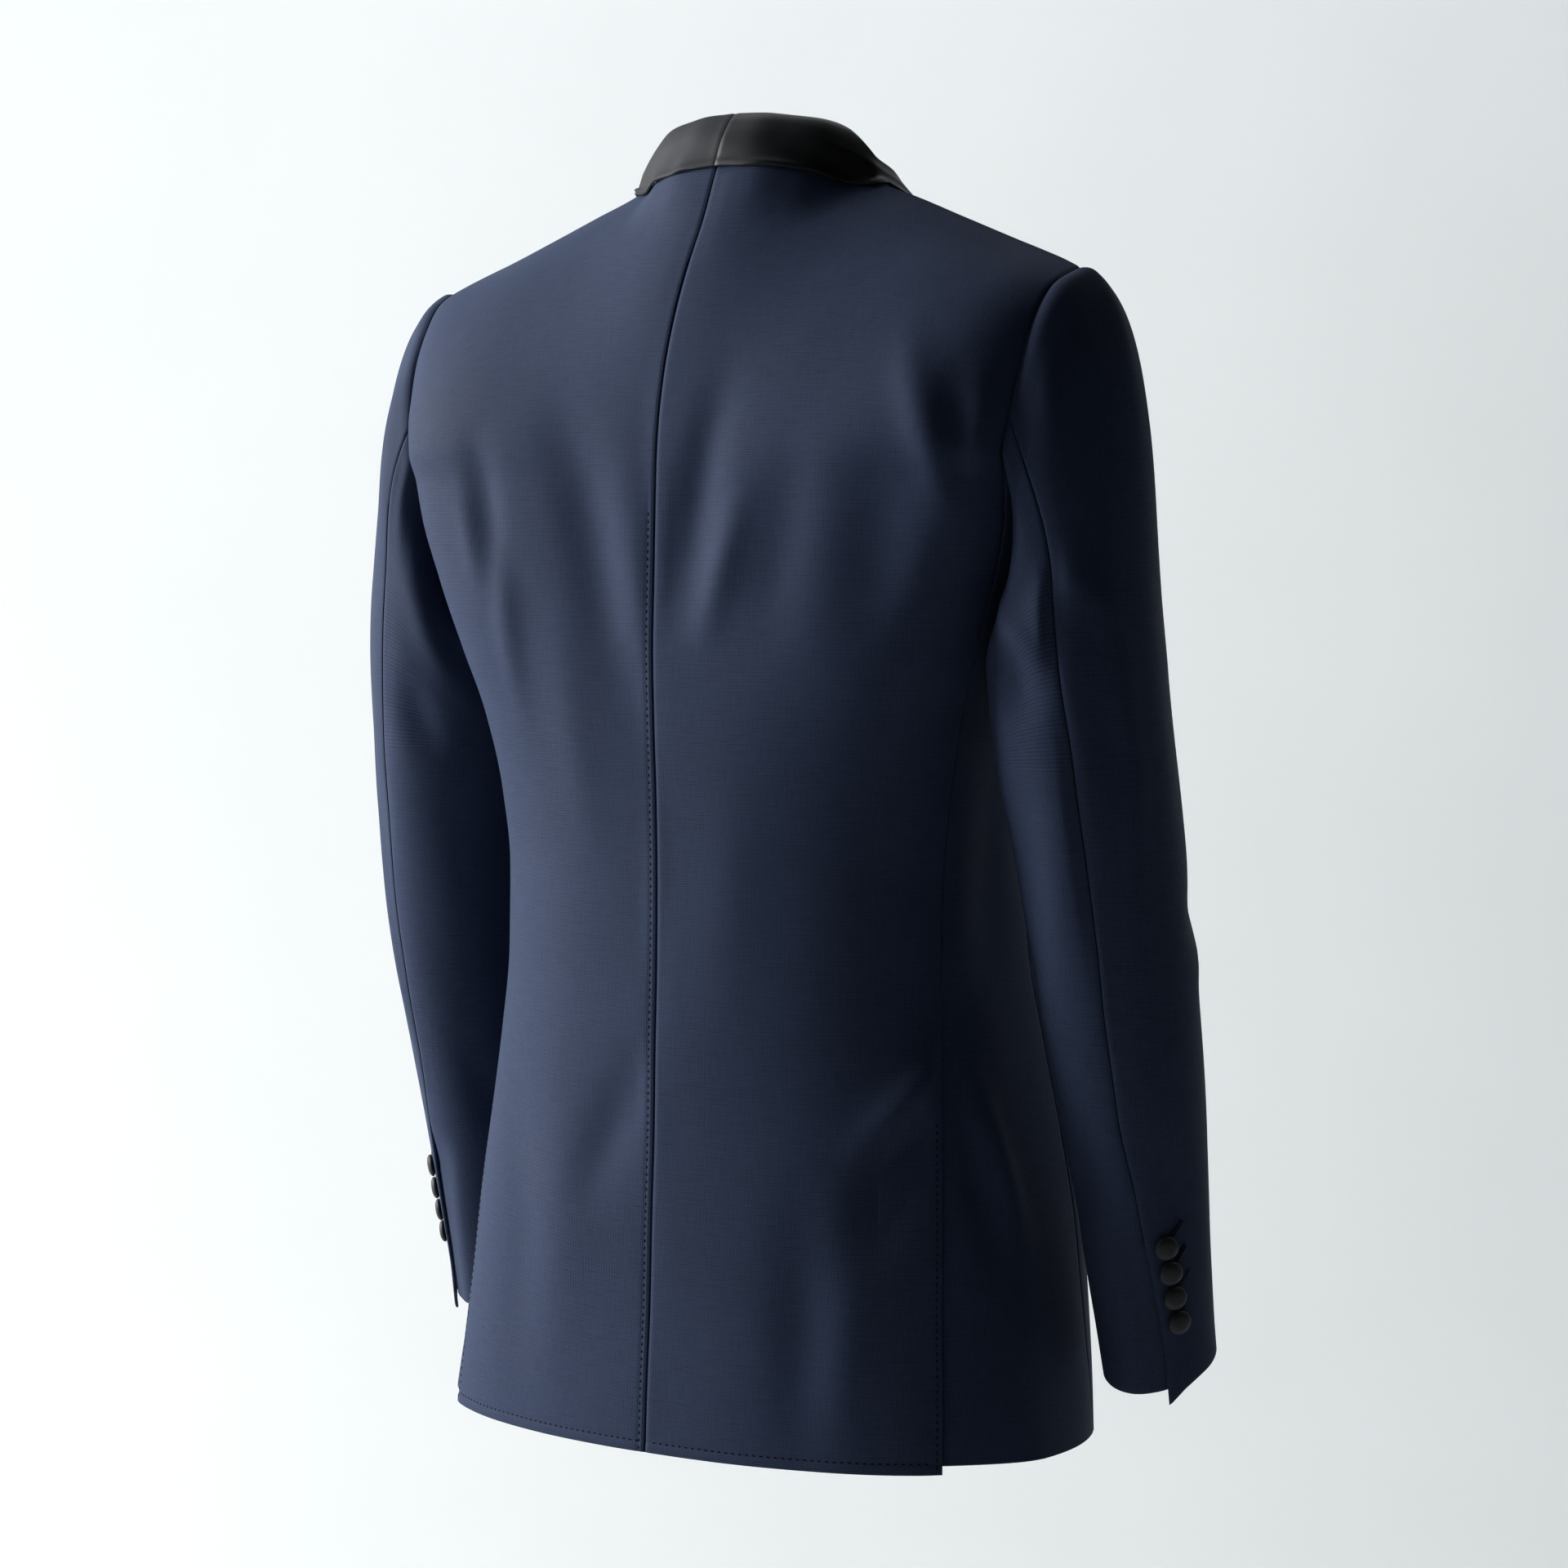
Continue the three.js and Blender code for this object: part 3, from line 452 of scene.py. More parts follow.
# ==== folds: soft troughs (negative) and ridges, each a line of points (across, level), height and width ====
# "across" is the arc from the piece's first column; a line marks the flank that looks to the wearer's left,
# so the crest or the bottom of the fold lies 0.7 of its width beyond it.
FOLDS = {
    ("back", 1): [
        ([(96, -128), (66, -197), (48, -265), (26, -339)], -2.6, 14),
        ([(38, -150), (30, -215), (20, -290)], 0.9, 12),
        ([(143, -160), (134, -204), (120, -250)], -2.3, 9),
        ([(150, -190), (143, -222), (134, -258)], 1.3, 6),
        ([(125, -205), (115, -265), (108, -325)], 1.5, 7),
        ([(82, -260), (70, -330), (60, -400)], 0.9, 12),
        ([(17, -515), (39, -563), (64, -615)], -1.1, 13),
        ([(98, -520), (84, -600), (92, -700)], 0.9, 20),
        ([(140, -540), (120, -640), (118, -740)], -0.9, 16),
    ],
    ("back", -1): [
        ([(34, -130), (20, -197), (9, -262)], -2.3, 10),
        ([(54, -190), (40, -240), (27, -285)], 2.0, 9),
        ([(84, -160), (78, -215), (66, -280)], -1.2, 12),
        ([(136, -165), (132, -222), (122, -290)], -3.0, 18),
        ([(146, -112), (171, -173), (184, -222)], 2.2, 8),
        ([(200, -145), (196, -179), (191, -212)], 1.5, 6),
        ([(182, -130), (188, -170), (190, -200)], -1.5, 6),
        ([(178, -506), (149, -542), (120, -574)], 2.6, 10),
        ([(170, -540), (140, -580), (118, -640)], -1.6, 14),
        ([(84, -600), (88, -680), (90, -750)], -0.9, 13),
        ([(116, -590), (112, -670), (108, -750)], 0.8, 14),
        ([(40, -360), (34, -430), (30, -500)], 0.7, 16),
    ],
    ("side", 1): [
        ([(10, -522), (26, -570), (46, -620)], 1.4, 9),
        ([(30, -330), (34, -420), (30, -490)], -0.9, 13),
    ],
    ("side", -1): [
        ([(8, -516), (26, -570), (52, -628)], 1.9, 9),
        ([(6, -540), (20, -600), (34, -660)], -1.3, 9),
        ([(30, -330), (34, -420), (30, -490)], -0.9, 13),
    ],
    ("under", 1): [
        ([(14, -244), (36, -288), (60, -330)], 2.4, 9),
        ([(54, -232), (62, -252), (76, -276)], -2.2, 9),
        ([(10, -308), (22, -336), (36, -362)], -2.4, 10),
        ([(30, -400), (36, -460), (44, -520)], 0.9, 13),
        ([(26, -540), (44, -585), (60, -620)], -1.0, 10),
    ],
    ("under", -1): [
        ([(60, -254), (43, -273), (20, -287), (2, -270)], 2.0, 7),
        ([(56, -284), (44, -300), (34, -325)], -3.0, 11),
        ([(4, -236), (10, -258), (22, -280)], 1.5, 8),
        ([(22, -312), (24, -380), (34, -450), (44, -505)], 1.6, 12),
        ([(52, -350), (56, -430), (62, -500)], -1.0, 12),
        ([(30, -560), (46, -600), (62, -625)], -0.9, 10),
    ],
    ("top", 1): [
        ([(120, -236), (124, -262), (130, -300)], 1.4, 9),
        ([(112, -300), (118, -333), (128, -360)], -1.7, 10),
        ([(150, -180), (148, -330), (146, -560)], 0.9, 6),
        ([(60, -400), (82, -432), (110, -450)], -1.4, 10),
        ([(50, -430), (76, -462), (106, -478)], 1.1, 9),
    ],
    ("top", -1): [
        ([(186, -226), (178, -248), (160, -275)], 1.5, 9),
        ([(164, -170), (155, -289), (154, -400), (150, -520)], 1.1, 6),
        ([(176, -290), (172, -330), (170, -380)], -0.9, 8),
        ([(118, -200), (112, -300), (110, -420)], -1.0, 14),
        ([(60, -400), (84, -430), (110, -446)], -1.4, 10),
        ([(50, -432), (78, -462), (106, -478)], 1.1, 9),
        ([(140, -560), (124, -600), (112, -640)], -0.8, 11),
    ],
    ("front", 1): [
        ([(40, -120), (62, -210), (70, -300)], -1.2, 18),
        ([(30, -150), (44, -230), (60, -330)], 1.2, 12),
        ([(60, -330), (100, -380), (140, -412)], 1.0, 9),
        ([(60, -500), (100, -455), (140, -428)], 1.0, 9),
        ([(60, -520), (60, -620), (66, -720)], -1.2, 16),
    ],
    ("front", -1): [
        ([(36, -110), (58, -200), (66, -290)], -1.3, 17),
        ([(24, -160), (40, -240), (52, -330)], 1.1, 12),
        ([(50, -340), (100, -388), (150, -414)], 0.9, 9),
        ([(70, -510), (104, -462), (146, -430)], 1.1, 9),
        ([(50, -540), (54, -630), (62, -720)], -1.1, 17),
    ],
}


def fold_field(A, Z, part, side):
    d = np.zeros_like(A)
    turn = side if part in ("top", "under") else -side
    for pts, depth, width in FOLDS[(part, side)]:
        pts = np.array(pts, float)
        width, depth = width * 1.3, depth * (2.8 if pts[0, 1] < -495 else 1.85)
        pts[:, 0] += 0.7 * width * turn
        ends = (pts[0] + (pts[0] - pts[1]) * 0.35)[None], (pts[-1] + (pts[-1] - pts[-2]) * 0.45)[None]
        pts = np.concatenate([ends[0], pts, ends[1]])
        seg = np.linalg.norm(np.diff(pts, axis=0), axis=1)
        cum = np.r_[0, np.cumsum(seg)]
        best = np.full(A.shape, 1e9)
        where = np.zeros_like(A)
        for i in range(len(pts) - 1):
            a, b = pts[i], pts[i + 1]
            u = b - a
            t = np.clip(((A - a[0]) * u[0] + (Z - a[1]) * u[1]) / (u @ u), 0, 1)
            r = np.hypot(A - a[0] - u[0] * t, Z - a[1] - u[1] * t)
            m = r < best
            best = np.where(m, r, best)
            where = np.where(m, (cum[i] + seg[i] * t) / cum[-1], where)
        taper = soft(0.0, 0.5, where) * (1 - soft(0.5, 1.0, where))
        d += depth * taper * np.exp(-((best / width) ** 2))
    return d


def drift(A, Z, seed, amp, scale):
    """Slow uneven waviness from a few seeded sines."""
    rng = np.random.default_rng(seed)
    d = np.zeros_like(A)
    for i in range(7):
        th, ph = rng.uniform(0, 2 * math.pi, 2)
        k = rng.uniform(0.6, 1.9) / scale
        d += np.sin((A * math.cos(th) * 1.4 + Z * math.sin(th)) * k + ph)
    return d * amp / 3.0


def flatten(g, t):
    """Evens out the upper back between the centre seam and the shoulder blade."""
    K = np.exp(-((t[:, None] - t[None, :]) ** 2) / (2 * 0.17**2)) + np.exp(-((t[:, None] + t[None, :]) ** 2) / (2 * 0.17**2))
    K = K * np.gradient(t)[None, :]
    K = K / K.sum(1, keepdims=True)
    out = g.copy()
    for i, (s, z) in enumerate(ROWS):
        if s is None:
            break
        w = float(soft(0.03, 0.24, s) * (1 - soft(0.7, 1.0, s))) * (1 - soft(0.55, 0.85, t))
        for c in (1, 2):
            out[i, :, c] += (K @ g[i, :, c] - g[i, :, c]) * w
    return out


def near(dist, width):
    return np.exp(-((dist / width) ** 2))


# ==== meshes ====
def shell(name, g, n, wall, side, core_uv=None, roundness=1.0, rim_pull=-0.05):
    """Closed wall from an outer grid, its edges rounded. side mirrors it. UV holds metres across and along the cloth."""
    R, C = g.shape[:2]
    inn = g - n * wall
    # outward direction at the edges
    eu0, eu1 = unit(g[:, 0] - g[:, 1]), unit(g[:, -1] - g[:, -2])
    ev0, ev1 = unit(g[0] - g[1]), unit(g[-1] - g[-2])
    out = g.copy()
    pull = rim_pull
    for arr in (out, inn):
        arr[:, 0] -= eu0 * pull
        arr[:, -1] -= eu1 * pull
        arr[0] -= ev0 * pull
        arr[-1] -= ev1 * pull
    ring_idx = [(0, j) for j in range(C)] + [(i, C - 1) for i in range(1, R)]
    ring_idx += [(R - 1, j) for j in range(C - 2, -1, -1)] + [(i, 0) for i in range(R - 2, 0, -1)]
    ri = np.array([i for i, j in ring_idx])
    rj = np.array([j for i, j in ring_idx])
    e = np.zeros((len(ring_idx), 3))
    for q, (i, j) in enumerate(ring_idx):
        v = np.zeros(3)
        if i == 0: v = v + ev0[j]
        if i == R - 1: v = v + ev1[j]
        if j == 0: v = v + eu0[i]
        if j == C - 1: v = v + eu1[i]
        e[q] = v / max(np.linalg.norm(v), 1e-9)
    # round the edge: outer edge drawn back, middle at full reach
    A, B = out[ri, rj].copy(), inn[ri, rj].copy()
    rr = wall * 0.5 * roundness
    out[ri, rj] = A - e * rr * 0.75
    inn[ri, rj] = B - e * rr * 0.75
    m1 = A * 0.85 + B * 0.15 - e * rr * 0.22
    m2 = (A + B) / 2
    m3 = A * 0.15 + B * 0.85 - e * rr * 0.22
    N = R * C
    verts = np.vstack([out.reshape(-1, 3), inn.reshape(-1, 3), m1, m2, m3])
    K = len(ring_idx)
    faces = []
    ii, jj = np.meshgrid(np.arange(R - 1), np.arange(C - 1), indexing="ij")
    a = (ii * C + jj).ravel()
    quads_out = np.stack([a, a + C, a + C + 1, a + 1], 1)
    quads_in = np.stack([a, a + 1, a + C + 1, a + C], 1) + N
    loop_o = ri * C + rj
    chain = [loop_o, 2 * N + np.arange(K), 2 * N + K + np.arange(K), 2 * N + 2 * K + np.arange(K), loop_o + N]
    rims = []
    for p, q in zip(chain[:-1], chain[1:]):
        rims.append(np.stack([p, np.roll(p, -1), np.roll(q, -1), q], 1))
    F = np.vstack([quads_out, quads_in] + rims)
    # orientation
    fo = quads_out[len(quads_out) // 2]
    fn = np.cross(verts[fo[2]] - verts[fo[0]], verts[fo[3]] - verts[fo[1]])
    want = n.reshape(-1, 3)[fo[0]]
    flip = np.dot(fn, want) < 0
    verts = verts * np.array([side, 1, 1]) * 0.001
    if flip != (side < 0):
        F = F[:, ::-1]
    me = bpy.data.meshes.new(name)
    me.vertices.add(len(verts))
    me.vertices.foreach_set("co", verts.astype(np.float32).ravel())
    me.loops.add(F.size)
    me.loops.foreach_set("vertex_index", F.astype(np.int32).ravel())
    me.polygons.add(len(F))
    me.polygons.foreach_set("loop_start", np.arange(0, F.size, 4, dtype=np.int32))
    me.polygons.foreach_set("loop_total", np.full(len(F), 4, dtype=np.int32))
    U = arc(g, 1) * 0.001
    V = arc(g, 0) * 0.001
    U = U - U[:, :1] * 0
    uv = np.stack([U.ravel(), -np.broadcast_to(V[:, V.shape[1] // 2][:, None], V.shape).ravel()], 1)
    uvall = np.vstack([uv, uv, uv[loop_o], uv[loop_o], uv[loop_o]])
    lay = me.uv_layers.new(name="cloth")
    lay.data.foreach_set("uv", uvall[F.ravel()].astype(np.float32).ravel())
    me.polygons.foreach_set("use_smooth", np.ones(len(F), dtype=bool))
    me.update(calc_edges=True)
    me.validate()
    ob = bpy.data.objects.new(name, me)
    bpy.context.scene.collection.objects.link(ob)
    return ob


def join_mesh(name, parts, smooth=True):
    """One mesh object from a list of (verts in mm, faces)."""
    vs, fs, o = [], [], 0
    for v, f in parts:
        vs.append(np.asarray(v, float) * 0.001)
        fs += [tuple(int(i) + o for i in q) for q in f]
        o += len(v)
    me = bpy.data.meshes.new(name)
    me.from_pydata(np.vstack(vs).tolist(), [], fs)
    if smooth:
        me.polygons.foreach_set("use_smooth", np.ones(len(fs), dtype=bool))
    me.update()
    ob = bpy.data.objects.new(name, me)
    bpy.context.scene.collection.objects.link(ob)
    return ob


def capsule(p, along, normal, length, r, segs=6, rings=5):
    """A short thread lying on the cloth, its ends dipping in."""
    along = along / np.linalg.norm(along)
    normal = normal / np.linalg.norm(normal)
    b = np.cross(along, normal)
    v, f = [], []
    for i in range(rings):
        t = i / (rings - 1) * 2 - 1
        sink = -r * 1.1 * t * t
        rr = r * (1 - 0.55 * abs(t) ** 3)
        for j in range(segs):
            a = 2 * math.pi * j / segs
            v.append(p + along * (t * length / 2) + normal * (sink + rr * math.sin(a)) + b * rr * math.cos(a))
    for i in range(rings - 1):
        for j in range(segs):
            k = (j + 1) % segs
            f.append((i * segs + j, i * segs + k, (i + 1) * segs + k, (i + 1) * segs + j))
    f.append(tuple(range(segs))[::-1])
    f.append(tuple((rings - 1) * segs + j for j in range(segs)))
    return np.array(v), f


# ==== materials ====
def new_mat(name):
    m = bpy.data.materials.new(name)
    m.use_nodes = True
    nt = m.node_tree
    nt.nodes.clear()
    out = nt.nodes.new("ShaderNodeOutputMaterial")
    b = nt.nodes.new("ShaderNodeBsdfPrincipled")
    nt.links.new(b.outputs[0], out.inputs[0])
    return m, nt, b


def node(nt, kind, **kw):
    n = nt.nodes.new(kind)
    for k, v in kw.items():
        if k.startswith("i_"):
            n.inputs[k[2:].replace("_", " ")].default_value = v
        else:
            setattr(n, k, v)
    return n


def weave_coords(nt, scale_u, scale_v):
    uv = node(nt, "ShaderNodeUVMap", uv_map="cloth")
    mp = node(nt, "ShaderNodeMapping")
    mp.inputs["Scale"].default_value = (scale_u, scale_v, 1)
    nt.links.new(uv.outputs[0], mp.inputs[0])
    return uv, mp


def wool(name="wool_navy", dark=(0.0068, 0.0108, 0.0232, 1), light=(0.0290, 0.0425, 0.0850, 1), sheen=0.03):
    m, nt, b = new_mat(name)
    L = nt.links.new
    uv, mp = weave_coords(nt, 1, 1)
    # plain weave: warp and weft waves out of step
    w1 = node(nt, "ShaderNodeTexWave", wave_type="BANDS", bands_direction="X", wave_profile="SIN")
    w1.inputs["Scale"].default_value = 1 / (2 * 0.00062) / math.pi
    w1.inputs["Distortion"].default_value = 0.6
    w1.inputs["Detail"].default_value = 1.0
    w2 = node(nt, "ShaderNodeTexWave", wave_type="BANDS", bands_direction="Y", wave_profile="SIN")
    w2.inputs["Scale"].default_value = 1 / (2 * 0.00068) / math.pi
    w2.inputs["Distortion"].default_value = 0.6
    w2.inputs["Detail"].default_value = 1.0
    L(mp.outputs[0], w1.inputs[0])
    L(mp.outputs[0], w2.inputs[0])
    mul = node(nt, "ShaderNodeMath", operation="MULTIPLY")
    L(w1.outputs["Fac"], mul.inputs[0])
    L(w2.outputs["Fac"], mul.inputs[1])
    # uneven yarns: long thin streaks both ways
    s1 = node(nt, "ShaderNodeMapping")
    s1.inputs["Scale"].default_value = (1400, 70, 1)
    L(uv.outputs[0], s1.inputs[0])
    n1 = node(nt, "ShaderNodeTexNoise")
    n1.inputs["Scale"].default_value = 1.0
    n1.inputs["Detail"].default_value = 2.0
    L(s1.outputs[0], n1.inputs["Vector"])
    s2 = node(nt, "ShaderNodeMapping")
    s2.inputs["Scale"].default_value = (60, 1200, 1)
    L(uv.outputs[0], s2.inputs[0])
    n2 = node(nt, "ShaderNodeTexNoise")
    n2.inputs["Scale"].default_value = 1.0
    n2.inputs["Detail"].default_value = 2.0
    L(s2.outputs[0], n2.inputs["Vector"])
    tc = node(nt, "ShaderNodeTexCoord")
    n3 = node(nt, "ShaderNodeTexNoise")
    n3.inputs["Scale"].default_value = 9.0
    n3.inputs["Detail"].default_value = 3.0
    L(tc.outputs["Object"], n3.inputs["Vector"])
    add1 = node(nt, "ShaderNodeMath", operation="ADD")
    L(n1.outputs["Fac"], add1.inputs[0])
    L(n2.outputs["Fac"], add1.inputs[1])
    add2 = node(nt, "ShaderNodeMath", operation="MULTIPLY_ADD")
    L(add1.outputs[0], add2.inputs[0])
    add2.inputs[1].default_value = 0.5
    L(mul.outputs[0], add2.inputs[2])
    add3 = node(nt, "ShaderNodeMath", operation="MULTIPLY_ADD")
    L(n3.outputs["Fac"], add3.inputs[0])
    add3.inputs[1].default_value = 0.35
    L(add2.outputs[0], add3.inputs[2])
    ramp = node(nt, "ShaderNodeValToRGB")
    ramp.color_ramp.elements[0].position = 0.35
    ramp.color_ramp.elements[0].color = dark
    ramp.color_ramp.elements[1].position = 1.0
    ramp.color_ramp.elements[1].color = light
    L(add3.outputs[0], ramp.inputs[0])
    L(ramp.outputs[0], b.inputs["Base Color"])
    bump = node(nt, "ShaderNodeBump")
    bump.inputs["Strength"].default_value = 0.35
    bump.inputs["Distance"].default_value = 0.00025
    L(add2.outputs[0], bump.inputs["Height"])
    L(bump.outputs[0], b.inputs["Normal"])
    rr = node(nt, "ShaderNodeMapRange")
    rr.inputs["To Min"].default_value = 0.62
    rr.inputs["To Max"].default_value = 0.82
    L(n3.outputs["Fac"], rr.inputs["Value"])
    L(rr.outputs[0], b.inputs["Roughness"])
    b.inputs["Sheen Weight"].default_value = sheen
    b.inputs["Sheen Roughness"].default_value = 0.5
    b.inputs["Sheen Tint"].default_value = (0.55, 0.66, 0.92, 1)
    b.inputs["Specular IOR Level"].default_value = 0.08
    return m


def satin(name="satin_black", dark=(0.0030, 0.0036, 0.0046, 1), light=(0.0075, 0.0088, 0.0108, 1), rough=(0.40, 0.50), sheen=0.05):
    m, nt, b = new_mat(name)
    L = nt.links.new
    uv, mp = weave_coords(nt, 1, 1)
    s1 = node(nt, "ShaderNodeMapping")
    s1.inputs["Scale"].default_value = (260, 2600, 1)
    L(uv.outputs[0], s1.inputs[0])
    n1 = node(nt, "ShaderNodeTexNoise")
    n1.inputs["Scale"].default_value = 1.0
    n1.inputs["Detail"].default_value = 3.0
    L(s1.outputs[0], n1.inputs["Vector"])
    tc = node(nt, "ShaderNodeTexCoord")
    n3 = node(nt, "ShaderNodeTexNoise")
    n3.inputs["Scale"].default_value = 26.0
    n3.inputs["Detail"].default_value = 3.0
    L(tc.outputs["Object"], n3.inputs["Vector"])
    ramp = node(nt, "ShaderNodeValToRGB")
    ramp.color_ramp.elements[0].position = 0.3
    ramp.color_ramp.elements[0].color = dark
    ramp.color_ramp.elements[1].position = 0.75
    ramp.color_ramp.elements[1].color = light
    L(n1.outputs["Fac"], ramp.inputs[0])
    L(ramp.outputs[0], b.inputs["Base Color"])
    mix = node(nt, "ShaderNodeMath", operation="MULTIPLY_ADD")
    L(n3.outputs["Fac"], mix.inputs[0])
    mix.inputs[1].default_value = 1.5
    L(n1.outputs["Fac"], mix.inputs[2])
    bump = node(nt, "ShaderNodeBump")
    bump.inputs["Strength"].default_value = 0.22
    bump.inputs["Distance"].default_value = 0.0003
    L(mix.outputs[0], bump.inputs["Height"])
    L(bump.outputs[0], b.inputs["Normal"])
    rr = node(nt, "ShaderNodeMapRange")
    rr.inputs["To Min"].default_value = rough[0]
    rr.inputs["To Max"].default_value = rough[1]
    L(n3.outputs["Fac"], rr.inputs["Value"])
    L(rr.outputs[0], b.inputs["Roughness"])
    b.inputs["Sheen Weight"].default_value = sheen
    b.inputs["Sheen Roughness"].default_value = 0.4
    b.inputs["Sheen Tint"].default_value = (0.75, 0.82, 0.95, 1)
    b.inputs["Specular IOR Level"].default_value = 0.4
    return m


# the default colour is darker than the cloth: partly the thread's own navy, partly painted shade of the dimples
# where the pick stitches sink in
def thread(name="thread_navy_and_dimple_shade", colour=(0.0022, 0.0030, 0.0055, 1)):
    m, nt, b = new_mat(name)
    L = nt.links.new
    tc = node(nt, "ShaderNodeTexCoord")
    n = node(nt, "ShaderNodeTexNoise")
    n.inputs["Scale"].default_value = 1800.0
    L(tc.outputs["Object"], n.inputs["Vector"])
    ramp = node(nt, "ShaderNodeValToRGB")
    ramp.color_ramp.elements[0].color = tuple(c * 0.6 for c in colour[:3]) + (1,)
    ramp.color_ramp.elements[1].color = tuple(c * 1.8 for c in colour[:3]) + (1,)
    L(n.outputs["Fac"], ramp.inputs[0])
    L(ramp.outputs[0], b.inputs["Base Color"])
    b.inputs["Roughness"].default_value = 0.6
    b.inputs["Sheen Weight"].default_value = 0.0
    b.inputs["Specular IOR Level"].default_value = 0.06
    return m


WOOL_MAT, THREAD_AND_DIMPLE_SHADE_MAT = wool(), thread()
# the left half of collar, lapel and stand takes a lighter, bluer satin: painted highlight for the sheen that half
# catches from the key light; the right half keeps the plain satin
SATIN = {1: satin("satin_left_painted_highlight", (0.0040, 0.0052, 0.0080, 1), (0.0100, 0.0128, 0.0185, 1), (0.60, 0.70), 0.03), -1: satin("satin_right")}
SATIN[1].node_tree.nodes["Principled BSDF"].inputs["Specular IOR Level"].default_value = 0.2


def keep(ob, mat, slot, *nodes):
    ob.data.materials.clear()
    ob.data.materials.append(mat)
    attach(ob, "root")
    if nodes:
        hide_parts(*nodes)
    return ob


# ==== cloth pieces ====
WALL_W, WALL_S = 1.9, 1.5
trunk = lambda g: np.stack([0 * g[..., 0], 0 * g[..., 1], g[..., 2] - np.where(g[..., 2] > -190, 60, 0)], -1)
limb = lambda g: np.stack([ARM["cx"](g[..., 2]), ARM["cy"](g[..., 2]), g[..., 2] - np.where(g[..., 2] > -190, 40, 0)], -1)
neck_core = lambda g: np.stack([g[..., 0] * 0.5, 0 * g[..., 1] - 30, g[..., 2] - 30], -1)

UP_S = spaced(235, True, False, 4.0)
LOW_Z = CHEST + (HEM - CHEST) * spaced(565, False, True, 4.2)
ROWS = rows_of(UP_S, LOW_Z[1:])
STITCH = []


def lay_stitches(P, N, path, pitch, length, r, side):
    """Threads every pitch along a path of grid points."""
    s = np.r_[0, np.cumsum(np.linalg.norm(np.diff(path[0], axis=0), axis=1))]
    for q in np.arange(pitch, s[-1] - pitch * 0.5, pitch):
        p = np.array([np.interp(q, s, path[0][:, k]) for k in range(3)])
        p2 = np.array([np.interp(q + 0.5, s, path[0][:, k]) for k in range(3)])
        n = np.array([np.interp(q, s, path[1][:, k]) for k in range(3)])
        v, f = capsule(p + n * (r * 0.25), p2 - p, n, length, r)
        v = v * np.array([side, 1, 1])
        if side < 0:
            f = [q2[::-1] for q2 in f]
        STITCH.append((v, f))


def at_dist(g, n, dist, from_start=True):
    """Path of points a set distance in from the first or last column."""
    P, N = [], []
    for row, nr in zip(g, n):
        r, m = (row, nr) if from_start else (row[::-1], nr[::-1])
        s = np.r_[0, np.cumsum(np.linalg.norm(np.diff(r, axis=0), axis=1))]
        P.append([np.interp(dist, s, r[:, k]) for k in range(3)])
        N.append([np.interp(dist, s, m[:, k]) for k in range(3)])
    return np.array(P), unit(np.array(N))


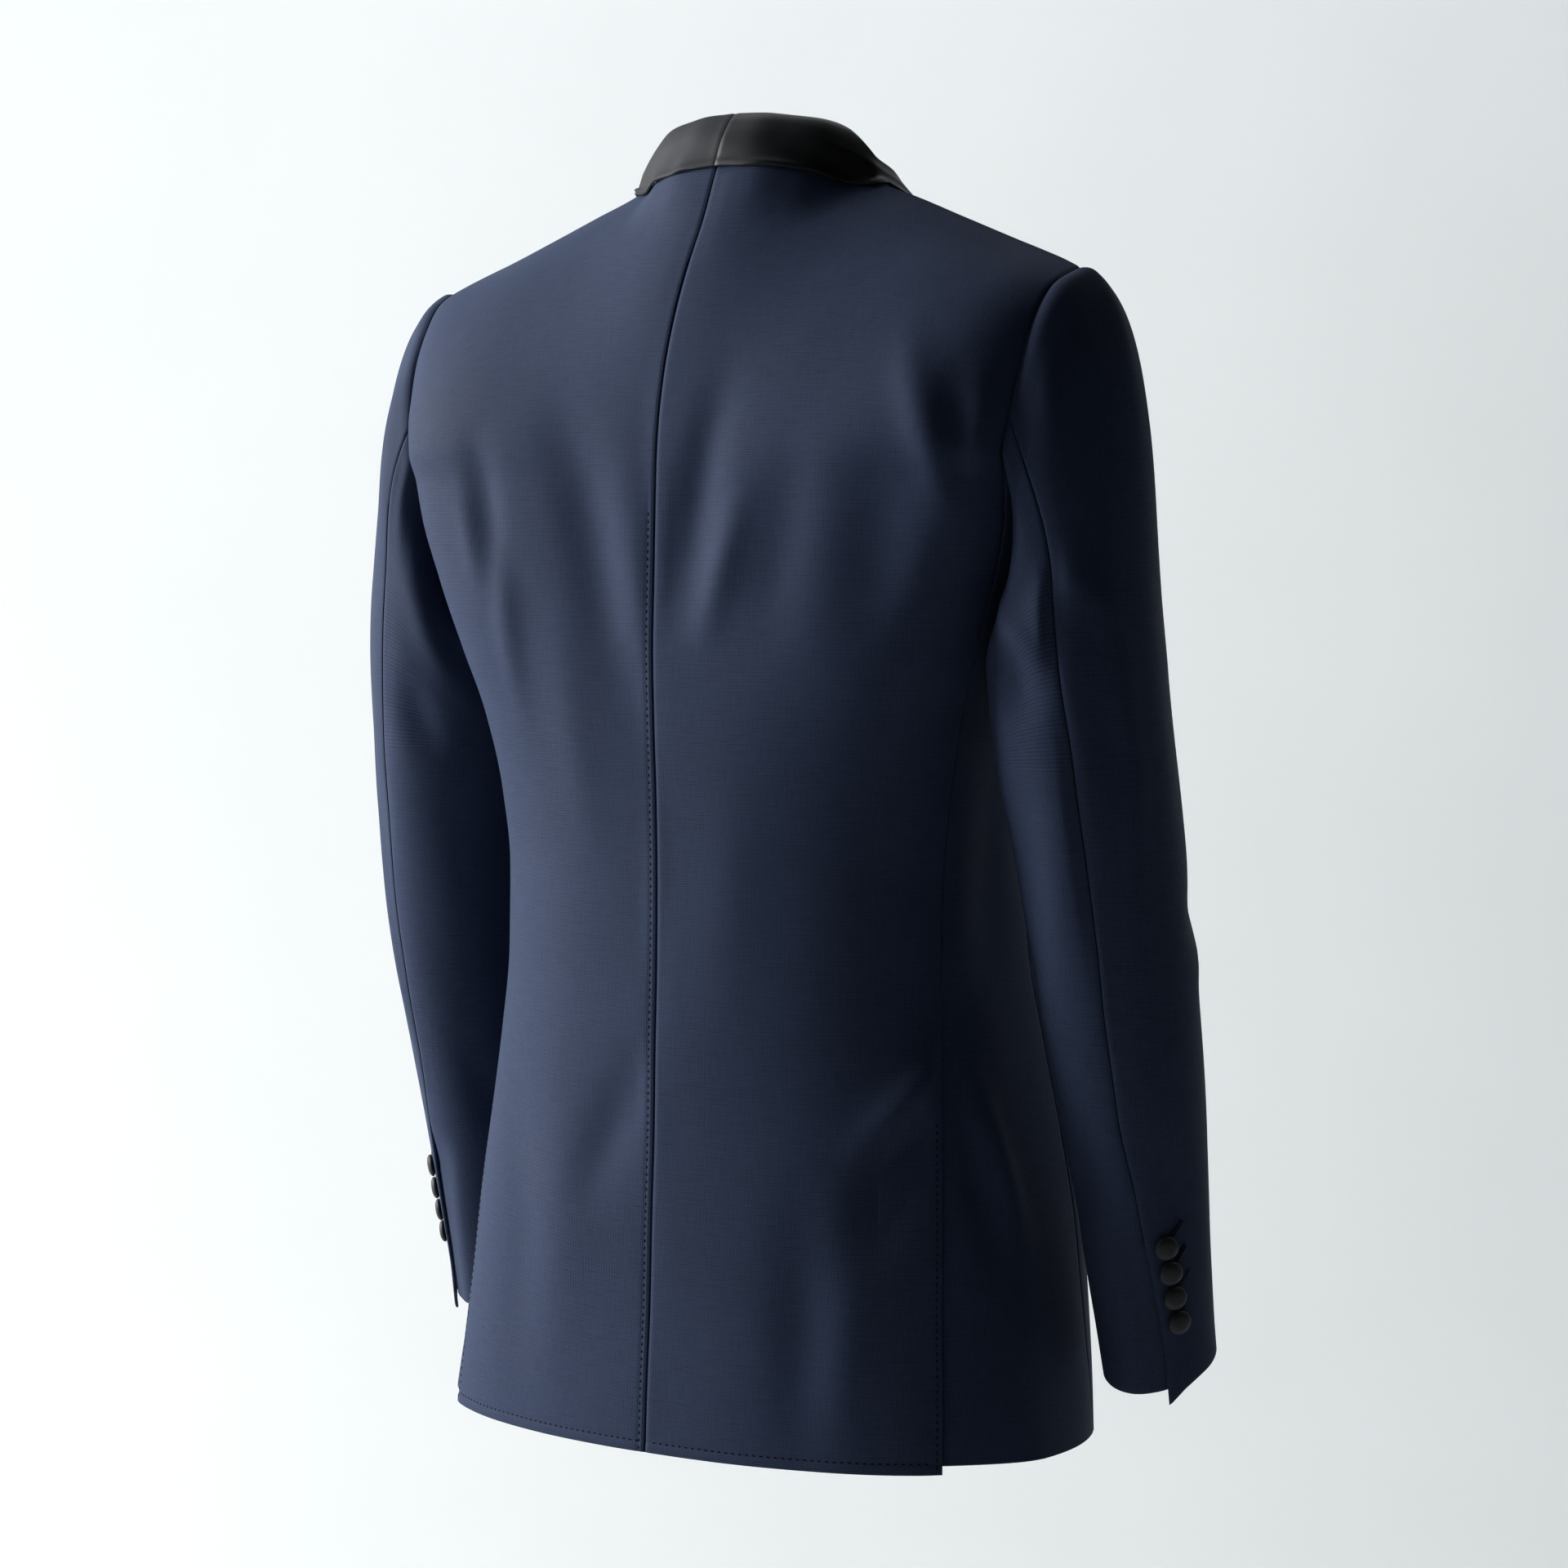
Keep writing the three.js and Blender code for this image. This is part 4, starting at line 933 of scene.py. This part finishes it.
for word, side in (("left", 1), ("right", -1)):
    # back
    t = spaced(205, True, True, 3.6)
    g = flatten(back_grid(ROWS, t), t)
    n = face_out(g, grid_normals(g), trunk(g))
    BACK = (g, n)
    A, Z = arc(g, 1), g[..., 2]
    W = A[:, -1:]
    d = fold_field(A, Z, "back", side)
    d += drift(A, Z, 11 if side > 0 else 12, 0.5, 38)
    edge = soft(0, 14, A) * soft(0, 12, W - A) * soft(0, 30, arc(g, 0))
    hem = HEM - Z
    d = d * edge
    d -= 0.75 * near(A, 1.6)  # centre seam dips in
    if side > 0:
        d -= 0.28 * near(A - 4.6, 1.1) * soft(-190, -215, Z)  # line of pick stitches
    d -= 0.6 * near(W - A, 1.8)
    d -= 0.28 * near(W - A - 3.6, 1.1) * soft(-545, -560, Z)
    d -= 0.25 * near(-hem - 6.5, 1.2)
    d += 0.35 * near(-hem - 3, 3.5)
    g2 = g + n * d[..., None]
    n2 = face_out(g2, grid_normals(g2), trunk(g2))
    ob = shell("cloth_back_" + word, g2, n2, WALL_W, side)
    keep(ob, WOOL_MAT, "wool", "back_" + word)
    low = [i for i, (s, z) in enumerate(ROWS) if z is not None and z < -205]
    if side > 0:
        lay_stitches(None, None, at_dist(g2[low], n2[low], 4.6), 4.3, 2.6, 0.40, side)
    vent = [i for i, (s, z) in enumerate(ROWS) if z is not None and z < -552]
    lay_stitches(None, None, at_dist(g2[vent], n2[vent], 3.6, False), 4.3, 2.6, 0.40, side)
    gt, nt_ = np.swapaxes(g2, 0, 1), np.swapaxes(n2, 0, 1)
    lay_stitches(None, None, at_dist(gt[4:-4], nt_[4:-4], 6.5, False), 4.4, 2.6, 0.40, side)

    # side panel and the underlap of its vent
    z = CHEST + (HEM - CHEST) * spaced(565, True, True, 4.6)
    f = spaced(95, True, True, 3.6)
    g = side_grid(z, f)
    n = face_out(g, grid_normals(g), trunk(g))
    A, Z = arc(g, 1), g[..., 2]
    W = A[:, -1:]
    base = HEM + 4.5 * (1 - soft(0.0, 0.8, f[None, :]))
    d = fold_field(A, Z, "side", side) + drift(A, Z, 21 if side > 0 else 22, 0.4, 30)
    d *= soft(0, 10, A) * soft(0, 10, W - A) * soft(0, 20, arc(g, 0))
    d -= 0.5 * near(A, 1.8) + 0.6 * near(W - A, 1.8)
    g2 = g + n * d[..., None]
    # the panel's hem is a little shorter beside the vent
    g2[..., 2] = np.where(Z < -700, Z + (base - HEM) * soft(-700, HEM, Z), g2[..., 2])
    n2 = face_out(g2, grid_normals(g2), trunk(g2))
    ob = shell("cloth_side_" + word, g2, n2, WALL_W, side)
    zu = np.r_[VENT_TOP - 2 - 12 * np.linspace(0, 1, 5)[:-1], VENT_TOP - 14 + (HEM + 5 - (VENT_TOP - 14)) * np.linspace(0, 1, 70)]
    fu = np.linspace(0, 1, 14)
    a = SIDE["backSeam"](zu)
    wide = np.degrees((VENT_UNDER + 0.0) * 1.12 / BODY["half"](zu)) * np.clip((VENT_TOP - zu) / 14, 0.15, 1)
    phi = a[:, None] - wide[:, None] * (1 - fu[None, :])
    gu = ring(phi, zu[:, None] + 0 * fu[None, :], -VENT_STEP - 0.15 + 0 * phi)
    nu = face_out(gu, grid_normals(gu), trunk(gu))
    lap = shell("underlap_" + word, gu, nu, WALL_W - 0.2, side)
    for o in (ob, lap):
        o.select_set(False)
    bm_me = ob.data
    with bpy.context.temp_override(active_object=ob, selected_editable_objects=[ob, lap], object=ob, selected_objects=[ob, lap]):
        bpy.ops.object.join()
    keep(ob, WOOL_MAT, "wool", "side_" + word)

    # front
    u = spaced(215, True, True, 3.8)
    g = front_grid(ROWS, u, side > 0)
    n = face_out(g, grid_normals(g), trunk(g))
    FRONT_BASE = (g, n)
    A, Z = arc(g, 1), g[..., 2]
    W = A[:, -1:]
    d = fold_field(A, Z, "front", side)
    d += drift(A, Z, 31 if side > 0 else 32, 0.4, 40)
    lap_w = np.where(Z > -392, soft(0, 12, np.abs(W - A) - LAPEL["width"](np.clip(Z, -386, -13)) * 0.8), 1)
    d *= soft(0, 12, A) * soft(0, 14, W - A) * soft(0, 30, arc(g, 0)) * lap_w
    over = soft(46, 60, g[..., 0]) if side < 0 else 1.0
    d = d * over
    d -= 0.5 * near(A, 1.8)
    g2 = g + n * d[..., None]
    n2 = face_out(g2, grid_normals(g2), trunk(g2))
    ob = shell("cloth_front_" + word, g2, n2, WALL_W, side)
    keep(ob, WOOL_MAT, "wool", "front_" + word)
    FRONT = (g2, n2)
    low = [i for i, (s, z_) in enumerate(ROWS) if z_ is not None and z_ < -392]
    lay_stitches(None, None, at_dist(g2[low], n2[low], 4.0, False), 4.4, 2.6, 0.40, side)

    # sleeves
    head_s = spaced(190, True, False, 4.0)
    neck_w = np.linspace(0, 1, 22)[1:]
    low_z = np.r_[np.linspace(-355, CUFF_VENT + 40, 60)[1:], np.linspace(CUFF_VENT + 40, CUFF - 0.0, 42)[1:]]
    for part, k0, k1, under, width in (("topsleeve", 0, HIND, False, 185), ("undersleeve", HIND, 22, True, 135)):
        k = k0 + (k1 - k0) * spaced(width, True, True, 3.6)
        g = sleeve_grid(head_s, neck_w, low_z, k, under)
        n = face_out(g, grid_normals(g), limb(g))
        A, Z = arc(g, 1), g[..., 2]
        L0 = arc(g, 0)
        W = A[:, -1:]
        d = fold_field(A, Z, "under" if under else "top", side) + drift(A, Z, (41 if under else 43) + (side > 0), 0.5, 34)
        d *= soft(0, 9, A) * soft(0, 9, W - A) * soft(6, 30, L0)
        # the head of the sleeve is eased: a soft roll just outside the armhole seam
        topw = np.exp(-(((k[None, :] - 8.5) / 5.0) ** 2)) if not under else np.exp(-(((k[None, :] - 14) / 2.0) ** 2)) * 0.3
        d += (1.3 * near(L0 - 7, 7) * topw) - 0.7 * near(L0, 2.0)
        d -= 0.5 * near(A, 1.6) + 0.5 * near(W - A, 1.6)
        g2 = g + n * d[..., None]
        # keep clear of the body
        clear = body_x(g2[..., 1], np.maximum(g2[..., 2], HEM)) + 1.0
        m = (g2[..., 2] < -262) & (g2[..., 0] < clear)
        g2[..., 0] = np.where(m, clear, g2[..., 0])
        n2 = face_out(g2, grid_normals(g2), limb(g2))
        ob = shell("cloth_" + part + "_" + word, g2, n2, WALL_W - 0.1, side)
        keep(ob, WOOL_MAT, "wool", part + "_" + word)
        if not under:
            TOPSLEEVE = (g2, n2, k)

    # collar: coarse rows as in the solid, made smooth both ways
    W_COLS = np.array([0, 0.07, 0.2, 0.4, 0.6, 0.8, 1.0])
    rows = []
    stand = []
    for q in range(5):
        R_, E_ = COLLAR[q, :3], COLLAR[q, 3:6]
        c = unit(E_ - R_)
        al = np.array([1.0, 0, 0]) if q == 0 else unit(COLLAR[q, :3] - COLLAR[q - 1, :3])
        nn = unit(np.cross(c, al))
        nn = -nn if nn[2] < 0 else nn
        rows.append([R_ + (E_ - R_) * w + nn * COLLAR[q, 6] * 1.25 * (1 - w) * (1 - math.exp(-w / 0.12)) for w in W_COLS])
        tt = q / 5 * HPS_T
        stand.append((R_, np.array([c_(tt) for c_ in top_line])))
    lz = [-215, -240, -265, -290, -315, -335, -352, -366, -378, -386]
    frows = rows_of(UPPER_ROWS, lz)
    fg = front_grid(frows, np.linspace(0, 1, 80), side > 0)
    fn = face_out(fg, grid_normals(fg), trunk(fg))
    for i in range(len(frows)):
        row, nr = fg[i][::-1], fn[i][::-1]
        s = np.r_[0, np.cumsum(np.linalg.norm(np.diff(row, axis=0), axis=1))]
        zr = row[0][2]
        wd, lf = float(LAPEL["width"](zr)), float(LAPEL["lift"](zr))
        P = []
        for w in W_COLS:
            p = np.array([np.interp(wd * w, s, row[:, c_]) for c_ in range(3)])
            nv = unit(np.array([np.interp(wd * w, s, nr[:, c_]) for c_ in range(3)]))
            P.append(p + nv * (LAY + 0.1 + lf * (1 - w) ** 2.2 + 1.2 * math.sin(math.pi * w)))
        rows.append(P)
        if i <= 3:
            stand.append((P[0], row[0]))
    G = np.array(rows)
    cum = np.r_[0, np.cumsum(np.linalg.norm(np.diff(G[:, 3], axis=0), axis=1))]
    fine_r = cum[-1] * spaced(cum[-1], True, True, 3.2)
    fine_w = spaced(62, True, True, 2.6)

    def smooth(G, cum, fr, fw):
        X = np.stack([[Curve(cum, G[:, j, c_])(fr) for j in range(G.shape[1])] for c_ in range(3)], -1)
        X = np.swapaxes(X, 0, 1)
        Y = np.stack([[Curve(W_COLS, X[i, :, c_])(fw) for i in range(len(fr))] for c_ in range(3)], -1)
        return Y

    g = smooth(G, cum, fine_r, fine_w)
    n = face_out(g, grid_normals(g), neck_core(g))
    up = [i for i, (s, z) in enumerate(ROWS) if z is None or z > -387]
    under_p = np.vstack([BACK[0][up][:60].reshape(-1, 3), FRONT_BASE[0][up].reshape(-1, 3)])
    under_n = np.vstack([BACK[1][up][:60].reshape(-1, 3), FRONT_BASE[1][up].reshape(-1, 3)])
    low_w = fine_w > 0.4
    rise = [3.2, 1.7, 0, -2, -4, -4, -3.6, -3, -2, 0, 3, 4, 2, 0, 0] if side > 0 else [3.2, 2.5, 1.1, 0, -0.8, -0.8, -0.4, 0.3, 1, 3.2, 5, 4.0, 0, -3.5, 0]
    rise = np.interp(fine_r, [0, 10, 19, 26, 32, 39, 45, 51, 58, 64, 71, 77, 83, 90, 110], rise)
    rise = np.convolve(np.pad(rise, 2, mode="edge"), [0.15, 0.2, 0.3, 0.2, 0.15], mode="valid")
    g[..., 2] += rise[:, None] * soft(0.35, 1.0, fine_w)[None, :]
    for i in range(len(g)):
        q = g[i][low_w]
        near_i = ((q[:, None, :] - under_p[None, :, :]) ** 2).sum(-1).argmin(1)
        gap = np.sum((q - under_p[near_i]) * under_n[near_i], -1)
        g[i][low_w] -= n[i][low_w] * (np.clip(gap - WALL_S - 0.4, 0, 12) * soft(0.4, 1.0, fine_w[low_w]))[:, None]
    n = face_out(g, grid_normals(g), neck_core(g))
    A = arc(g, 1)
    L0 = arc(g, 0)
    Wd = A[:, -1:]
    d = -0.5 * near(L0, 1.6) + 0.5 * near(Wd - A - 2.5, 2.5) + drift(A, L0, 51 if side > 0 else 52, 0.25, 30) * soft(0, 8, L0) * soft(0, 6, Wd - A) * soft(0, 5, A)
    g2 = g + n * d[..., None]
    n2 = face_out(g2, grid_normals(g2), neck_core(g2))
    ob = shell("satin_collar_" + word, g2, n2, WALL_S, side)
    keep(ob, SATIN[side], "satin", "collar_" + word)
    S = []
    for R_, N_ in stand:
        h = np.linalg.norm(N_ - R_)
        uu = (N_ - R_) / max(h, 1e-6)
        top, foot = R_ + uu * min(4.2, h * 0.36), N_ - uu * 0.8
        S.append([top + (foot - top) * w for w in np.linspace(0, 1, 7)])
    S = np.array(S)
    W_KEEP = W_COLS
    W_COLS = np.linspace(0, 1, 7)
    cum = np.r_[0, np.cumsum(np.linalg.norm(np.diff(S[:, 3], axis=0), axis=1))]
    g = smooth(S, cum, cum[-1] * np.linspace(0, 1, 50), np.linspace(0, 1, 12))
    W_COLS = W_KEEP
    n = face_out(g, grid_normals(g), neck_core(g))
    ob = shell("satin_stand_" + word, g, n, WALL_S, side, rim_pull=0.05)
    keep(ob, SATIN[side], "satin", "collar_stand_" + word)

# ==== buttons, stitches, buttonholes ====


def button_mesh(p, n, dia, side, seg=40):
    """Cloth-covered button: domed face, folded edge, a slight dimple where the cover is gathered behind."""
    r = dia / 2
    prof = [(0, 0), (r * 0.5, 0.0), (r * 0.74, 0.1), (r * 0.9, 0.45), (r * 0.985, 1.05), (r, 1.6), (r * 0.975, 2.15), (r * 0.9, 2.85),
            (r * 0.78, 3.4), (r * 0.62, 3.83), (r * 0.44, 4.08), (r * 0.22, 4.22), (0, 4.27)]
    n = n / np.linalg.norm(n)
    a = np.cross(n, [0, 0, 1.0])
    a = a / np.linalg.norm(a)
    b = np.cross(n, a)
    v = [p]
    for x, y in prof[1:-1]:
        for j in range(seg):
            t = 2 * math.pi * j / seg
            # the cover pulls very slightly unevenly round the rim
            w = 1 + 0.004 * math.sin(5 * t + 1) * (x / r)
            v.append(p + n * y + (a * math.cos(t) + b * math.sin(t)) * x * w)
    v.append(p + n * prof[-1][1])
    f = []
    m = len(prof) - 2
    for j in range(seg):
        k = (j + 1) % seg
        f.append((0, 1 + k, 1 + j))
        for i in range(m - 1):
            f.append((1 + i * seg + j, 1 + i * seg + k, 1 + (i + 1) * seg + k, 1 + (i + 1) * seg + j))
        f.append((1 + (m - 1) * seg + j, 1 + (m - 1) * seg + k, 1 + m * seg))
    v = np.array(v) * np.array([side, 1, 1])
    v1, v2, v3 = v[f[0][0]], v[f[0][1]], v[f[0][2]]
    out = np.dot(np.cross(v2 - v1, v3 - v1), n * np.array([side, 1, 1])) < 0  # back face looks away from n
    if not out:
        f = [q[::-1] for q in f]
    return v, f


COVER = satin("button_cover", rough=(0.52, 0.62))
HOLES = []
for word, side in (("left", 1), ("right", -1)):
    for i in range(CUFF_COUNT):
        z = CUFF_FIRST + i * CUFF_PITCH
        tilt = CUFF_SLOPE * float(soft(-480, CUFF, z))
        th = HEAD_T["th"][HIND] - 17.0
        at = lambda h, y: tube(np.array(h), np.array(float(y)), np.array(tilt))
        p, a, b = at(th, z), at(th + 3, z), at(th, z - 4)
        n = unit(np.cross(a - p, b - p))
        n = -n if n[0] < 0 else n
        v, f = button_mesh(p + n * (-0.5 if side > 0 else 1.0), n, CUFF_BUTTON, side)
        ob = join_mesh("button_%s_%d" % (word, i + 1), [(v, f)])
        keep(ob, COVER, "button", "cuff_button_%s_%d" % (word, i + 1))
        # worked buttonhole running from the button up and away from the vent
        q0, q1 = at(th - 7, z + 4.5), at(th - 20, z + 12.0)
        along = unit(q1 - q0)
        bn = unit(np.cross(n, along))
        m0 = unit(np.cross(at(th - 14, z) - at(th - 20, z), at(th - 17, z) - at(th - 17, z - 3)))
        m0 = -m0 if np.dot(m0, n) < 0 else m0
        L = np.linalg.norm(q1 - q0)
        for s in np.arange(0.4, L, 0.62):
            c = at(th - 7 - 13 * s / L, z + 4.5 + 7.5 * s / L)
            for w in (-1, 1):
                v, f = capsule(c + m0 * 0.12 + unit(np.cross(m0, along)) * 0.8 * w, unit(np.cross(m0, along)), m0, 1.35, 0.3)
                v = v * np.array([side, 1, 1])
                HOLES.append((v, [k_[::-1] for k_ in f] if side < 0 else f))
bp = ring(np.array(180.0), np.array(BUTTON_Z), np.array(LAP))
v, f = button_mesh(bp + np.array([0, -1.0, 0]), np.array([0, -1.0, 0]), FRONT_BUTTON, 1, 48)
keep(join_mesh("button_front", [(v, f)]), COVER, "button", "front_button")
# buttonhole of the closure, beyond the button towards the edge
for s in np.arange(0, 11, 0.62):
    c = ring(np.array(180.0 + 3.2 + s / 2.1), np.array(BUTTON_Z + 0.4), np.array(LAP + 0.12))
    for w in (-1, 1):
        v, f = capsule(c + np.array([0, 0, 0.8 * w]), np.array([0, 0, 1.0]), np.array([0, -1.0, 0]), 1.35, 0.3)
        HOLES.append((v, f))
keep(join_mesh("pick_stitches", STITCH), THREAD_AND_DIMPLE_SHADE_MAT, "wool")
keep(join_mesh("buttonholes", HOLES), thread("buttonhole_silk", (0.006, 0.007, 0.010, 1)), "wool")

# ==== stage, light, camera ====


def floor_material():
    m, nt, b = new_mat("floor_paper")
    tc = node(nt, "ShaderNodeTexCoord")
    n = node(nt, "ShaderNodeTexNoise")
    n.inputs["Scale"].default_value = 3.0
    n.inputs["Detail"].default_value = 3.0
    nt.links.new(tc.outputs["Object"], n.inputs["Vector"])
    ramp = node(nt, "ShaderNodeValToRGB")
    ramp.color_ramp.elements[0].color = (0.55, 0.565, 0.57, 1)
    ramp.color_ramp.elements[1].color = (0.58, 0.595, 0.60, 1)
    nt.links.new(n.outputs["Fac"], ramp.inputs[0])
    nt.links.new(ramp.outputs[0], b.inputs["Base Color"])
    b.inputs["Roughness"].default_value = 0.9
    b.inputs["Specular IOR Level"].default_value = 0.1
    return m


AZ, EL, DIST = math.radians(212.80), math.radians(3.71), 2.2838
AIM = Vector((-0.0226, 0.00056, -0.37125))
BACK = Vector((math.sin(AZ) * math.cos(EL), -math.cos(AZ) * math.cos(EL), math.sin(EL)))
cam_data = bpy.data.cameras.new("camera")
cam_data.lens = 4689.6 / 1920 * 36
cam_data.sensor_width = 36
cam_data.clip_start, cam_data.clip_end = 0.05, 60
cam = bpy.data.objects.new("camera", cam_data)
cam.location = AIM + BACK * DIST
cam.rotation_euler = BACK.to_track_quat("Z", "Y").to_euler()
bpy.context.scene.collection.objects.link(cam)
bpy.context.scene.camera = cam

# a seamless sweep: floor, then a soft bend, then the wall behind
FLOOR_Z = -1.30
away = Vector((-BACK.x, -BACK.y, 0)).normalized()
right = away.cross(Vector((0, 0, 1)))
prof = [(-7.0, 0.0)] + [(x, 0.0) for x in np.linspace(-5, 1.4, 8)]
R_ = 1.6
prof += [(1.4 + R_ * math.sin(a), R_ * (1 - math.cos(a))) for a in np.linspace(0.06, math.pi / 2, 26)]
prof += [(1.4 + R_, R_ + 7.0)]
v, f = [], []
for x, y in prof:
    for s in (-9.0, 9.0):
        q = away * x + right * s
        v.append((q.x, q.y, FLOOR_Z + y))
for i in range(len(prof) - 1):
    f.append((2 * i, 2 * i + 1, 2 * i + 3, 2 * i + 2))
me = bpy.data.meshes.new("floor")
me.from_pydata(v, [], f)
me.polygons.foreach_set("use_smooth", np.ones(len(f), dtype=bool))
me.update()
floor = bpy.data.objects.new("floor", me)
bpy.context.scene.collection.objects.link(floor)
floor.data.materials.append(floor_material())


def area_light(name, az, el, dist, size, power, colour=(1, 1, 1), aim=AIM, size_y=None):
    """az, el: from where the light comes, az measured from the camera to image right."""
    a = AZ + math.radians(az)
    e = math.radians(el)
    d = Vector((math.sin(a) * math.cos(e), -math.cos(a) * math.cos(e), math.sin(e)))
    L = bpy.data.lights.new(name, "AREA")
    L.energy = power
    L.color = colour
    L.shape = "RECTANGLE"
    L.size = size
    L.size_y = size_y or size
    o = bpy.data.objects.new(name, L)
    o.location = aim + d * dist
    o.rotation_euler = d.to_track_quat("Z", "Y").to_euler()
    bpy.context.scene.collection.objects.link(o)
    return o


area_light("key", -102, 18, 3.2, 2.2, 262, (1.0, 1.0, 1.0), size_y=2.4)
area_light("front_fill", -40, 25, 3.4, 2.4, 3, (1.0, 1.0, 1.0))
area_light("kick", 95, 15, 3.2, 1.6, 1.2, (1.0, 1.0, 1.0))
L = area_light("background", 0, 0, 1.0, 3.4, 58, (0.95, 0.985, 1.0), size_y=0.9)
L.location = AIM + away * 0.7 + Vector((-away.y, away.x, 0)) * -0.7 + Vector((0, 0, 1.75))
L.rotation_euler = (-(away * 2.3 + Vector((0, 0, -1.75)))).to_track_quat("Z", "Y").to_euler()
world = bpy.data.worlds.new("world")
world.use_nodes = True
bpy.context.scene.world = world
bpy.context.scene.view_settings.view_transform = "Standard"
bg = world.node_tree.nodes["Background"]
bg.inputs[0].default_value = (0.80, 0.84, 0.90, 1)
bg.inputs[1].default_value = 0.01
